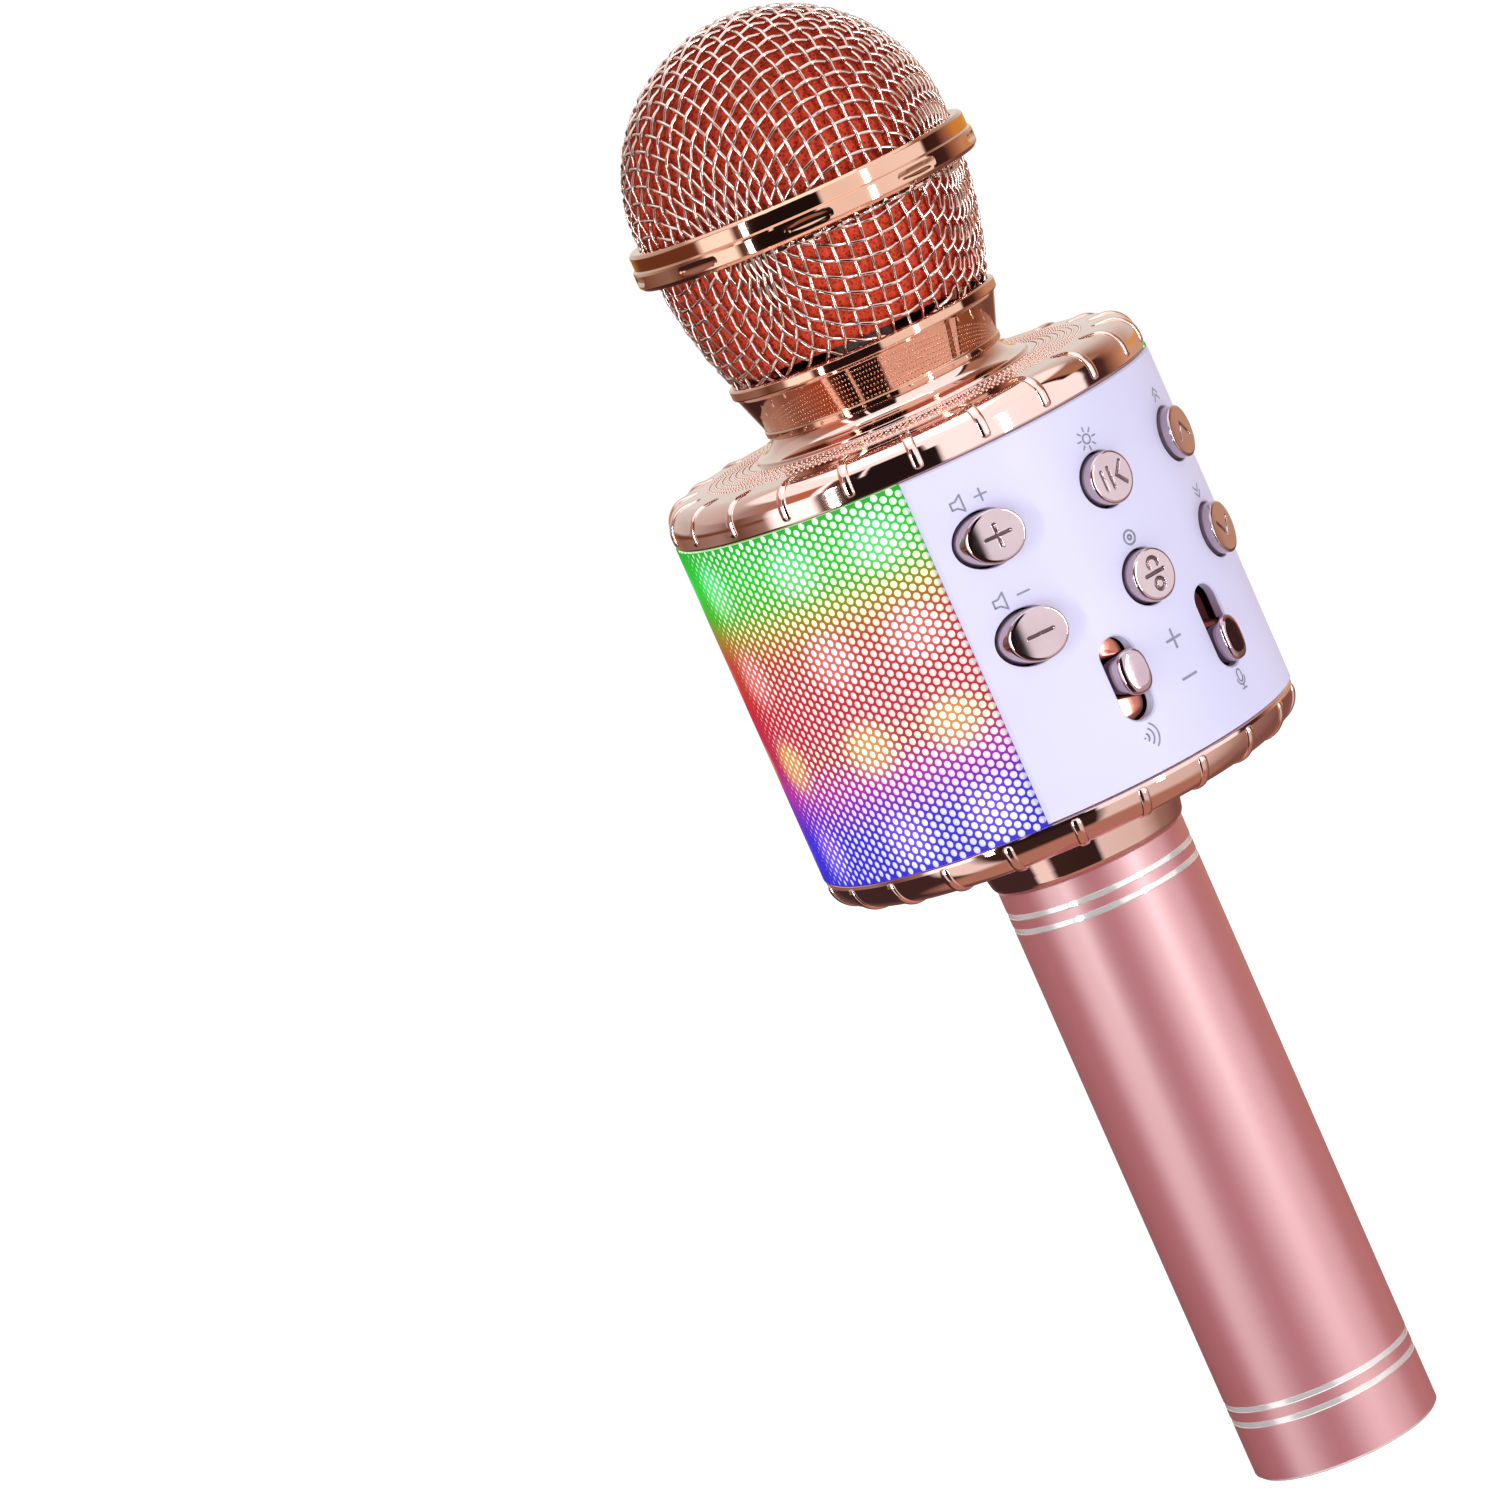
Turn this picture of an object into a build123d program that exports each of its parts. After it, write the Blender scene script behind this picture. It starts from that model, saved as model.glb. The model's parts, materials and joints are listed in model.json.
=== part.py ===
from build123d import *
import math
import os

# Handheld karaoke microphone: ball head, speaker drum with lights and a control panel, tubular handle.
# Millimetres. The handle's end is at Z = 0 on the axis, the ball is up, the control panel faces -Y.

# Handle
HANDLE_R = 15.5
HANDLE_WALL = 1.5
HANDLE_TOP = 102.2
HANDLE_CHAMFER = 0.5
HANDLE_BORE_R = HANDLE_R - HANDLE_WALL
INSERT_R = HANDLE_BORE_R - 0.05

# Neck between the handle and the drum
NECK_TOP = 109.7
NECK_WAIST_R = 15.8
NECK_BELLY_R = 17.0
NECK_FLARE_R = 18.0
NECK_BORE_R = 11.0
COUPLER_R = 10.9
COUPLER_BORE_R = 8.5
COUPLER_LOW = 94.0
NUT_R = 14.0
NUT_HIGH = 2.5

# Drum
DRUM_LOW = 115.0
DRUM_HIGH = 171.2
GRILLE_R = 39.5
GRILLE_WALL = 0.7
PANEL_R = 39.8
PANEL_WALL = 1.9
PANEL_HALF_ANGLE = 43.0
PANEL_SEAM = 0.3
CAP_R = 39.2
CAP_WALL = 2.0
TOP_CAP_HIGH = 177.2
TOP_CAP_ROUND = 3.8
BOTTOM_CAP_ROUND = 4.5
FLANGE_R = 22.5
FLANGE_LIP = 0.5
TOP_CROWN = 0.7
RIB_COUNT = 22
RIB_WIDTH = 1.5
RIB_PROUD = 0.5
RIB_ROOT = 0.6
RIB_TURN = 2.9
RIB_REACH_R = 33.0
FRAME_R = 37.8
FRAME_PLATE = 2.0
WIRE_HOLE_R = 8.0

# Head
COLLAR_LOW = 181.1
COLLAR_HIGH = 190.4
COLLAR_LOW_R = 19.3
COLLAR_HIGH_R = 21.6
COLLAR_BEAD_R = 22.1
COLLAR_BEAD = 1.7
RING_LOW = 209.65
RING_HIGH = 215.55
RING_MIDDLE = (RING_LOW + RING_HIGH) / 2
RING_R = 28.2
RING_UPPER_R = RING_R - 0.2
RING_GROOVE = 0.6
RING_EDGE = 0.5
RING_LEDGE_R = 25.1
RING_LEDGE_LOW = RING_MIDDLE - 0.6
DOME_R = 26.0
DOME_CENTRE = 217.0
MESH_WALL = 0.8
MESH_GAP = 0.1
RING_BORE_STEP = 0.05
BASKET_LOW_R = 21.5
BASKET_MID_R = 24.5
BASKET_HIGH_R = 25.6
BASKET_MID_Z = 200.0
FOAM_GAP = 0.4
FOAM_WALL = 3.5
COLLAR_WALL = 1.7
COLLAR_FLOOR = COLLAR_LOW + 2.0

# Microphone capsule, on a post from the collar's floor
CAPSULE_LOW = 203.0
CAPSULE_HIGH = 214.0
CAPSULE_R = 8.0
CAPSULE_FACE_R = 6.5
CAPSULE_EDGE = 1.0
CAPSULE_STEP = 0.6
CRADLE_R = 9.6
CRADLE_LOW = 201.0
CRADLE_HIGH = 211.0
POST_FOOT_R = 12.0
POST_WAIST_R = (5.0, 4.0)
POST_HEAD_R = 8.5
POST_PLATE = 2.0
POST_BORE_R = 1.6

# Controls: every key and slider moves along fixed lines of the board behind the panel
KEY_R = 4.1
KEY_HOLE_R = 4.25
KEY_PROUD = 2.3
KEY_TRAVEL = 0.5
KEY_COLUMN = 20.4
KEY_ROW_HIGH = 158.5
KEY_ROW_LOW = 142.5
KEY_LUG = (6.8, 10.6)
KEY_INNER_R = 36.6
STEM_R = 1.4
SLIDER_COLUMN = 10.0
SLOT_Z = 130.3
SLOT = (5.4, 13.4)
KNOB = (4.8, 7.2)
KNOB_PROUD = 2.6
SKIRT = (6.8, 19.2)
SKIRT_R = (36.4, 37.3)
ECHO_REST = SLOT_Z + 0.7
VOICE_REST = SLOT_Z - 2.4

# Main board behind the panel
BOARD_FRONT = -24.0
BOARD_WALL = 1.6
BOARD_BACK = BOARD_FRONT + BOARD_WALL
BOARD_HALF = 24.5
BOARD_LOW = DRUM_LOW + 4
BOARD_HIGH = DRUM_HIGH - 4
SWITCH_SIDE = 5.0
SWITCH_DEEP = 2.6
SWITCH_WELL = (1.7, 2.4)
POT = (6.6, 20.0, 5.0)
POT_GROOVE = (2.4, 13.0, 4.0)
LEVER = (1.6, 4.0)
SCREW_R = 0.8
SCREW_HEAD_R = 1.5
SCREW_HEAD = 1.2
SCREW_LENGTH = 5.0
BOARD_SCREW_X = 22.0
CONNECTOR = 4.0
CHIP_HIGH = 1.4
MIC_PLUG = (0, 162)
BATTERY_PLUG = (0, 122)
PORT_PLUG = (-5, 122)
SPEAKER_PLUG = (5, 129)

# Lights
LED_AZIMUTHS = (-36.5, -14.5, 14.5, 36.5)
LED_ROWS = 4
LED_FIRST = DRUM_LOW + 5.3
LED_PITCH = 14.8
DIFFUSER_WALL = 0.4
LED_STRIP_R = 36.0
LED_STRIP = (3.6, 0.6)
LED = (3.2, 1.3, 3.2)

# Speakers, one facing each side
SPEAKER_Z = (DRUM_LOW + DRUM_HIGH) / 2
SPEAKER_BACK = 10.0
SPEAKER_R = 19.5
MAGNET_R = 11.0
MAGNET_HIGH = 6.0
GAP_FLOOR = 1.5
GAP_OUTER_R = 7.0
POLE_R = 5.4
POLE_HIGH = 7.2
BASKET_WALL = 0.8
RIM_LOW = 17.6
RIM_HIGH = RIM_LOW + BASKET_WALL
COIL_R = (5.7, 6.3)
COIL_LOW = 2.4
CONE_RIM_R = 15.0
CONE_RIM_HIGH = 17.2
CONE_WALL = 0.8
DUST_CAP_HIGH = 11.4
DUST_CAP_WALL = 0.6
ROLL_R = 16.2
ROLL_TUBE_R = (0.7, 1.1)
ROLL_INNER_R = 15.1
GASKET_R = 17.2
GASKET_HIGH = RIM_HIGH + 0.3
BAFFLE = (25.6, 27.6)
BAFFLE_HALF = 22.0
BAFFLE_HOLE_R = 17.7
RAIL = (5.1, 2.0)
POST_AZIMUTHS = (43.4, 48.4)
POST_INNER_R = 34.8
CAP_SCREW_PLACE = 21.2
CAP_SCREW_R = 1.25
CAP_SCREW_HEAD_R = 2.4
BOSS_R = 3.0

# Battery and the ports in the handle's end
BATTERY_R = 9.2
BATTERY_LOW = 22.0
BATTERY_LENGTH = 65.0
BATTERY_HIGH = BATTERY_LOW + BATTERY_LENGTH
HOLDER_R = 13.7
HOLDER_OPEN_Y = 8.0
HOLDER_ENDS = (2.0, 1.0)
TERMINAL_R = 3.0
TERMINAL_HIGH = 1.2
END_CAP_WALL = 2.0
END_CAP_SKIRT = (12.6, 8.0)
PORT_BOARD_LOW = 14.0
PORT_BOARD_R = 13.0
JACK_X = -7.5
JACK_R = 4.0
JACK_NOSE_R = 3.0
JACK_BORE = (1.8, 12.0)
CHARGE_Y = -8.5
CHARGE = (8.0, 3.2)
CHARGE_MOUTH = (6.9, 1.9, 6.0)
CHARGE_TONGUE = (4.9, 0.7, 1.2)
CARD_X = 8.25
CARD = (3.5, 14.0)
CARD_SLIT = (1.4, 11.4, 10.0)
POWER_Y = 8.5
POWER_BODY = (8.4, 4.5)
POWER_BODY_LOW = 5.0
POWER_GUIDE = (5.4, 1.8, 3.2)
POWER_SLOT = (6.6, 2.8)
POWER_KNOB = (3.0, 2.4)
POWER_TONGUE = (1.8, 1.2, 2.6)
POWER_REST = -1.5
PORT_BOSS = (-6.5, 8.2)
PORT_BOSS_R = 1.9

LEAD_R = 0.8


def turned(points, rounds=()):
    """A solid turned about Z from (radius, height) points; rounds are (point number, corner radius)."""
    face = make_face(Polyline(*points, close=True))
    for number, radius in rounds:
        corner = face.vertices().sort_by_distance(points[number])[0]
        face = fillet(corner, radius)
    return revolve(Plane.XZ * face, Axis.Z)


def tube(outer, inner, low, high):
    """A plain tube about Z."""
    return turned([(inner, low), (outer, low), (outer, high), (inner, high)])


def rod(radius, low, high, x=0, y=0):
    """An upright round bar."""
    return Pos(x, y, low) * Cylinder(radius, high - low, align=(Align.CENTER, Align.CENTER, Align.MIN))


def block(x, y, z):
    """A box between three (low, high) pairs."""
    corner = (Align.MIN, Align.MIN, Align.MIN)
    return Pos(x[0], y[0], z[0]) * Box(x[1] - x[0], y[1] - y[0], z[1] - z[0], align=corner)


def around(centre, size):
    """The (low, high) pair of a length about its centre."""
    return (centre - size / 2, centre + size / 2)


def sector(inner, outer, low, high, start, end):
    """A curved wall about Z between two azimuths in degrees from +X."""
    face = make_face(Polyline((inner, low), (outer, low), (outer, high), (inner, high), close=True))
    return Rot(0, 0, start) * revolve(Plane.XZ * face, Axis.Z, end - start)


def along_y(shape, x, z):
    """A shape drawn upright about Z, laid down so that it points along -Y from (x, 0, z)."""
    return Pos(x, 0, z) * Rot(90, 0, 0) * shape


def drum_wall(inner, outer):
    """A full ring of the drum's height, used to shape what follows its curve."""
    return tube(outer, inner, DRUM_LOW, DRUM_HIGH)


def path_tube(points, radius):
    """A lead of straight runs and tangent arcs as large as the runs allow."""
    corners = []
    for before, here, after in zip(points, points[1:], points[2:]):
        run_in = Vector(*here) - Vector(*before)
        run_out = Vector(*after) - Vector(*here)
        half_turn = math.radians(run_in.get_angle(run_out)) / 2
        corners.append(0.45 * min(run_in.length, run_out.length) / math.tan(half_turn))
    route = FilletPolyline(*points, radius=corners)
    print("lead arcs", [round(corner, 1) for corner in corners])
    return sweep(Plane(route @ 0, z_dir=route % 0) * Circle(radius), path=route)


# ---------------------------------------------------------------- head

def make_grille_dome():
    low = RING_MIDDLE
    outer = make_face(
        Polyline((0, low), (DOME_R, low), (DOME_R, DOME_CENTRE))
        + JernArc((DOME_R, DOME_CENTRE), (0, 1), DOME_R, 90)
        + Line((0, DOME_CENTRE + DOME_R), (0, low))
    )
    inner_r = DOME_R - MESH_WALL
    inner = make_face(
        Polyline((0, low), (inner_r, low), (inner_r, DOME_CENTRE))
        + JernArc((inner_r, DOME_CENTRE), (0, 1), inner_r, 90)
        + Line((0, DOME_CENTRE + inner_r), (0, low))
    )
    return revolve(Plane.XZ * outer, Axis.Z) - revolve(Plane.XZ * inner, Axis.Z)


def basket_side(inset, low, high):
    """The ball's lower outline, inset from the mesh's outside, as a wire from low to high."""
    foot = (BASKET_LOW_R - inset, low)
    belly = (BASKET_MID_R - inset, BASKET_MID_Z)
    rim = (BASKET_HIGH_R - inset, RING_LOW)
    return ThreePointArc(foot, belly, rim) + Line(rim, (BASKET_HIGH_R - inset, high))


def basket_core(inset, low, high):
    """The space inside the lower mesh, down to its foot."""
    side = basket_side(inset, low, high)
    ends = Line((BASKET_HIGH_R - inset, high), (0, high)) + Line((0, high), (0, low))
    return revolve(Plane.XZ * make_face(side + ends + Line((0, low), (BASKET_LOW_R - inset, low))), Axis.Z)


def make_grille_basket():
    high = RING_LEDGE_LOW
    return basket_core(0, COLLAR_HIGH, high) - basket_core(MESH_WALL, COLLAR_HIGH, high)


def make_grille_ring():
    upper_bore = DOME_R + MESH_GAP
    lower_bore = BASKET_HIGH_R + MESH_GAP + RING_BORE_STEP
    return turned([
        (lower_bore, RING_LOW), (RING_R - RING_EDGE, RING_LOW), (RING_R, RING_LOW + RING_EDGE),
        (RING_R, RING_MIDDLE - RING_EDGE), (RING_R - RING_GROOVE, RING_MIDDLE),
        (RING_UPPER_R, RING_MIDDLE + RING_EDGE), (RING_UPPER_R, RING_HIGH - RING_EDGE),
        (RING_UPPER_R - RING_EDGE, RING_HIGH), (upper_bore, RING_HIGH), (upper_bore, RING_MIDDLE),
        (RING_LEDGE_R, RING_MIDDLE), (RING_LEDGE_R, RING_LEDGE_LOW), (lower_bore, RING_LEDGE_LOW),
    ])


def make_foam_liner():
    low = COLLAR_HIGH + 0.6
    inset = MESH_WALL + FOAM_GAP
    skin = basket_core(inset, low, DOME_CENTRE) + Pos(0, 0, DOME_CENTRE) * Sphere(BASKET_HIGH_R - inset)
    thick = inset + FOAM_WALL
    hollow = basket_core(thick, low, DOME_CENTRE) + Pos(0, 0, DOME_CENTRE) * Sphere(BASKET_HIGH_R - thick)
    return skin - hollow


def make_mic_capsule():
    back_r = CAPSULE_R - CAPSULE_STEP
    return turned([
        (0, CAPSULE_LOW), (back_r, CAPSULE_LOW), (back_r, CAPSULE_LOW + CAPSULE_EDGE),
        (CAPSULE_R, CAPSULE_LOW + CAPSULE_EDGE), (CAPSULE_R, CAPSULE_HIGH - CAPSULE_EDGE),
        (CAPSULE_FACE_R, CAPSULE_HIGH), (0, CAPSULE_HIGH),
    ])


def make_capsule_cradle():
    return turned([
        (POST_BORE_R, CRADLE_LOW), (CRADLE_R, CRADLE_LOW), (CRADLE_R, CRADLE_HIGH), (CAPSULE_R, CRADLE_HIGH),
        (CAPSULE_R, CAPSULE_LOW), (POST_BORE_R, CAPSULE_LOW),
    ])


def make_capsule_post():
    foot = COLLAR_FLOOR + POST_PLATE
    head = CRADLE_LOW - POST_PLATE
    low_r, high_r = POST_WAIST_R
    return turned([
        (POST_BORE_R, COLLAR_FLOOR), (POST_FOOT_R, COLLAR_FLOOR), (POST_FOOT_R, foot), (low_r, foot),
        (high_r, head), (POST_HEAD_R, head), (POST_HEAD_R, CRADLE_LOW), (POST_BORE_R, CRADLE_LOW),
    ])


def make_head_collar():
    edge = 0.4
    inner_r = COLLAR_HIGH_R - COLLAR_WALL + 0.5
    return turned([
        (WIRE_HOLE_R, COLLAR_LOW), (COLLAR_LOW_R, COLLAR_LOW), (COLLAR_HIGH_R, COLLAR_HIGH - COLLAR_BEAD),
        (COLLAR_BEAD_R, COLLAR_HIGH - COLLAR_BEAD + edge), (COLLAR_BEAD_R, COLLAR_HIGH - edge),
        (COLLAR_BEAD_R - edge, COLLAR_HIGH), (inner_r, COLLAR_HIGH),
        (COLLAR_LOW_R - COLLAR_WALL + edge, COLLAR_FLOOR), (WIRE_HOLE_R, COLLAR_FLOOR),
    ])


# ---------------------------------------------------------------- drum caps

def add_ribs(cap, low, edge, corner_r):
    """Adds the short ribs that wrap a cap's corner, from height low on its side to its flat face at edge."""
    out = math.copysign(1, edge - low)
    skin_r = CAP_R - RIB_ROOT
    skin = edge - out * RIB_ROOT
    proud_r = CAP_R + RIB_PROUD
    proud = edge + out * RIB_PROUD
    band = turned(
        [
            (skin_r, low), (proud_r, low), (proud_r, proud), (RIB_REACH_R, proud), (RIB_REACH_R, skin),
            (skin_r, skin),
        ],
        rounds=((2, corner_r + RIB_PROUD), (5, corner_r - RIB_ROOT)),
    )
    rib = band & block((RIB_REACH_R - 1, PANEL_R + 1), around(0, RIB_WIDTH), (edge - 20, edge + 20))
    for number in range(RIB_COUNT):
        cap += Rot(0, 0, RIB_TURN - 90 + 360 / RIB_COUNT * (number + 0.5)) * rib
    return cap


def make_top_cap():
    edge = TOP_CAP_HIGH
    under = edge - CAP_WALL
    inner_r = CAP_R - CAP_WALL
    shell = turned([
        (inner_r, DRUM_HIGH), (CAP_R, DRUM_HIGH), (CAP_R, edge), (FLANGE_R, edge + TOP_CROWN),
        (FLANGE_R, edge + TOP_CROWN + FLANGE_LIP), (COLLAR_LOW_R + 1.2, edge + TOP_CROWN + FLANGE_LIP + 0.8),
        (COLLAR_LOW_R - 0.4, COLLAR_LOW), (14, COLLAR_LOW), (14, COLLAR_LOW - 1.5),
        (COLLAR_LOW_R - 3, under), (inner_r, under),
    ], rounds=((2, TOP_CAP_ROUND),))
    return add_ribs(shell, DRUM_HIGH + RIB_ROOT, edge, TOP_CAP_ROUND)


def make_bottom_cap():
    floor = NECK_TOP + CAP_WALL
    inner_r = CAP_R - CAP_WALL
    shell = turned([
        (NECK_BORE_R, NECK_TOP), (CAP_R, NECK_TOP), (CAP_R, DRUM_LOW), (inner_r, DRUM_LOW),
        (inner_r, floor), (NECK_BORE_R, floor),
    ], rounds=((1, BOTTOM_CAP_ROUND), (4, BOTTOM_CAP_ROUND - CAP_WALL)))
    cap = add_ribs(shell, DRUM_LOW - RIB_ROOT, NECK_TOP, BOTTOM_CAP_ROUND)
    for x, y in cap_screw_places():
        cap -= rod(CAP_SCREW_R + 0.25, NECK_TOP - 1, floor + 1, x, y)
        cap -= rod(CAP_SCREW_HEAD_R + 0.2, NECK_TOP - 1, NECK_TOP + 1.2, x, y)
    return cap


def cap_screw_places():
    return [(x, y) for x in (-CAP_SCREW_PLACE, CAP_SCREW_PLACE) for y in (-CAP_SCREW_PLACE, CAP_SCREW_PLACE)]


def make_drum_screws():
    screws = []
    for x, y in cap_screw_places():
        head = rod(CAP_SCREW_HEAD_R, NECK_TOP + 0.1, NECK_TOP + 1.2, x, y)
        screws.append(head + rod(CAP_SCREW_R, NECK_TOP + 1.2, DRUM_LOW + FRAME_PLATE, x, y))
    return Compound(children=screws)


# ---------------------------------------------------------------- drum body

def make_chassis():
    floor = DRUM_LOW + FRAME_PLATE
    ceiling = DRUM_HIGH - FRAME_PLATE
    frame = tube(FRAME_R, WIRE_HOLE_R, DRUM_LOW, floor) + tube(FRAME_R, WIRE_HOLE_R, ceiling, DRUM_HIGH)
    start, end = POST_AZIMUTHS
    for centre in (-90, 90):
        for low, high in ((centre + start, centre + end), (centre - end, centre - start)):
            frame += sector(POST_INNER_R, FRAME_R, floor, ceiling, low, high)
    hole = Pos(0, 0, SPEAKER_Z) * Rot(0, 90, 0) * Cylinder(BAFFLE_HOLE_R, 4 * BAFFLE[1])
    for side in (-1, 1):
        near, far = sorted((side * BAFFLE[0], side * BAFFLE[1]))
        frame += block((near, far), (-BAFFLE_HALF, BAFFLE_HALF), (floor, ceiling))
        near, far = sorted((side * (BAFFLE[0] - RAIL[0]), side * BAFFLE[0]))
        frame += block((near, far), (BOARD_BACK, BOARD_BACK + RAIL[1]), (floor, ceiling))
    frame -= hole
    for x, y in cap_screw_places():
        frame += rod(BOSS_R, NECK_TOP + CAP_WALL, DRUM_LOW, x, y)
        frame -= rod(CAP_SCREW_R + 0.02, NECK_TOP, floor + 1, x, y)
    for x, z in board_screw_places():
        frame -= along_y(Cylinder(SCREW_R + 0.02, 2 * (SCREW_LENGTH - BOARD_FRONT)), x, z)
    return frame


def key_places():
    """Each key's name with its column and row."""
    return {
        "volume_up_key": (-KEY_COLUMN, KEY_ROW_HIGH),
        "volume_down_key": (-KEY_COLUMN, KEY_ROW_LOW),
        "light_key": (0, KEY_ROW_HIGH),
        "record_key": (0, KEY_ROW_LOW),
        "previous_key": (KEY_COLUMN, KEY_ROW_HIGH),
        "next_key": (KEY_COLUMN, KEY_ROW_LOW),
    }


def stadium(size, low, high):
    """An upright bar with round ends, drawn in the board's plane and pushed from low to high."""
    width, height = size
    outline = SlotOverall(height, width, rotation=90)
    return Pos(0, 0, low) * extrude(outline, high - low)


def make_front_panel():
    middle = -90
    panel = sector(
        PANEL_R - PANEL_WALL, PANEL_R, DRUM_LOW + PANEL_SEAM, DRUM_HIGH,
        middle - PANEL_HALF_ANGLE, middle + PANEL_HALF_ANGLE,
    )
    for x, z in key_places().values():
        panel -= along_y(rod(KEY_HOLE_R, 20, 50), x, z)
    for x in (-SLIDER_COLUMN, SLIDER_COLUMN):
        panel -= along_y(stadium(SLOT, 20, 50), x, SLOT_Z)
    return panel


def make_back_panel():
    middle = 90
    return sector(
        PANEL_R - PANEL_WALL, PANEL_R, DRUM_LOW + PANEL_SEAM, DRUM_HIGH,
        middle - PANEL_HALF_ANGLE, middle + PANEL_HALF_ANGLE,
    )


def make_side_wall(side, outer, wall):
    """A curved sheet that fills the window on one side of the drum."""
    middle = 0 if side > 0 else 180
    half = 90 - PANEL_HALF_ANGLE
    return sector(outer - wall, outer, DRUM_LOW, DRUM_HIGH, middle - half, middle + half)


def led_azimuths(side):
    middle = 0 if side > 0 else 180
    return [middle + azimuth for azimuth in LED_AZIMUTHS]


def make_led_strips():
    width, wall = LED_STRIP
    height = (DRUM_LOW + FRAME_PLATE, DRUM_HIGH - FRAME_PLATE)
    strips = []
    for azimuth in led_azimuths(1) + led_azimuths(-1):
        strip = block((LED_STRIP_R, LED_STRIP_R + wall), around(0, width), height)
        strips.append(Rot(0, 0, azimuth) * strip)
    return Compound(children=strips)


def make_leds(side):
    width, deep, tall = LED
    face = LED_STRIP_R + LED_STRIP[1]
    lights = []
    for azimuth in led_azimuths(side):
        for row in range(LED_ROWS):
            z = LED_FIRST + LED_PITCH * row
            lights.append(Rot(0, 0, azimuth) * block((face, face + deep), around(0, width), around(z, tall)))
    return Compound(children=lights)


# ---------------------------------------------------------------- controls

def make_key(x, z):
    face_r = PANEL_R + KEY_PROUD
    cap = along_y(rod(KEY_R, 20, 50), x, z) & drum_wall(KEY_INNER_R, face_r)
    width, height = KEY_LUG
    lugs = block(around(x, width), (-50, -20), around(z, height)) & drum_wall(KEY_INNER_R, KEY_INNER_R + 1)
    seat = math.sqrt(KEY_INNER_R ** 2 - x ** 2)
    tip = -BOARD_FRONT + SWITCH_WELL[1] - 1.5
    return cap + lugs + along_y(rod(STEM_R, tip, seat + 0.5), x, z)


def make_slider(x, z):
    inner, outer = SKIRT_R
    skirt = block(around(x, SKIRT[0]), (-50, -20), around(z, SKIRT[1])) & drum_wall(inner, outer)
    knob = along_y(stadium(KNOB, 20, 50), x, z) & drum_wall(inner, PANEL_R + KNOB_PROUD)
    seat = math.sqrt(inner ** 2 - x ** 2)
    lever = block(around(x, LEVER[0]), (-seat - 0.5, BOARD_FRONT - 2), around(z, LEVER[1]))
    return skirt + knob + lever


def make_main_board():
    board = block((-BOARD_HALF, BOARD_HALF), (BOARD_FRONT, BOARD_BACK), (BOARD_LOW, BOARD_HIGH))
    for x, z in board_screw_places():
        board -= along_y(rod(SCREW_R + 0.1, 20, 30), x, z)
    return board


def board_screw_places():
    return [(x, z) for x in (-BOARD_SCREW_X, BOARD_SCREW_X) for z in (BOARD_LOW + 3, BOARD_HIGH - 3)]


def make_screw():
    """A small self-tapping screw with its head's seat at Z = 0, pointing down."""
    return rod(SCREW_HEAD_R, 0, SCREW_HEAD) + rod(SCREW_R, -SCREW_LENGTH, 0)


def make_board_screws():
    screws = [along_y(Pos(0, 0, -BOARD_FRONT) * make_screw(), x, z) for x, z in board_screw_places()]
    for x, y in port_boss_places():
        screws.append(Pos(x, y, PORT_BOARD_LOW + BOARD_WALL) * make_screw())
    return Compound(children=screws)


def make_tact_switches():
    well_r, well_deep = SWITCH_WELL
    switches = []
    for x, z in key_places().values():
        body = block(around(x, SWITCH_SIDE), (BOARD_FRONT - SWITCH_DEEP, BOARD_FRONT), around(z, SWITCH_SIDE))
        top = -BOARD_FRONT + SWITCH_DEEP
        switches.append(body - along_y(rod(well_r, top - well_deep, top + 1), x, z))
    return Compound(children=switches)


def make_slide_pots():
    width, height, deep = POT
    groove_width, groove_height, groove_deep = POT_GROOVE
    front = BOARD_FRONT - deep
    groove_y = (front - 1, front + groove_deep)
    pots = []
    for x in (-SLIDER_COLUMN, SLIDER_COLUMN):
        body = block(around(x, width), (front, BOARD_FRONT), around(SLOT_Z, height))
        groove = block(around(x, groove_width), groove_y, around(SLOT_Z, groove_height))
        pots.append(body - groove)
    return Compound(children=pots)


def make_board_chips():
    places = [((0, 152), (9, 8)), ((0, 141), (7, 7)), ((-13.5, 121.5), (6, 5)), ((13.5, 121.5), (6, 5))]
    chips = []
    for (x, z), (width, height) in places:
        chips.append(block(around(x, width), (BOARD_BACK, BOARD_BACK + CHIP_HIGH), around(z, height)))
    return Compound(children=chips)


def make_board_connectors():
    places = [MIC_PLUG, BATTERY_PLUG, PORT_PLUG, SPEAKER_PLUG, (-SPEAKER_PLUG[0], SPEAKER_PLUG[1])]
    plugs = []
    for x, z in places:
        plugs.append(block(around(x, CONNECTOR), (BOARD_BACK, BOARD_BACK + CONNECTOR), around(z, CONNECTOR)))
    return Compound(children=plugs)


# ---------------------------------------------------------------- speakers, drawn facing +Z from their backs

def facing(side, shape):
    """Lays a speaker part on its side, facing +X or -X."""
    return Pos(side * SPEAKER_BACK, 0, SPEAKER_Z) * Rot(0, side * 90, 0) * shape


def make_speaker_magnet(side):
    return facing(side, turned([
        (0, 0), (MAGNET_R, 0), (MAGNET_R, MAGNET_HIGH), (GAP_OUTER_R, MAGNET_HIGH), (GAP_OUTER_R, GAP_FLOOR),
        (POLE_R, GAP_FLOOR), (POLE_R, POLE_HIGH), (0, POLE_HIGH),
    ]))


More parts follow.
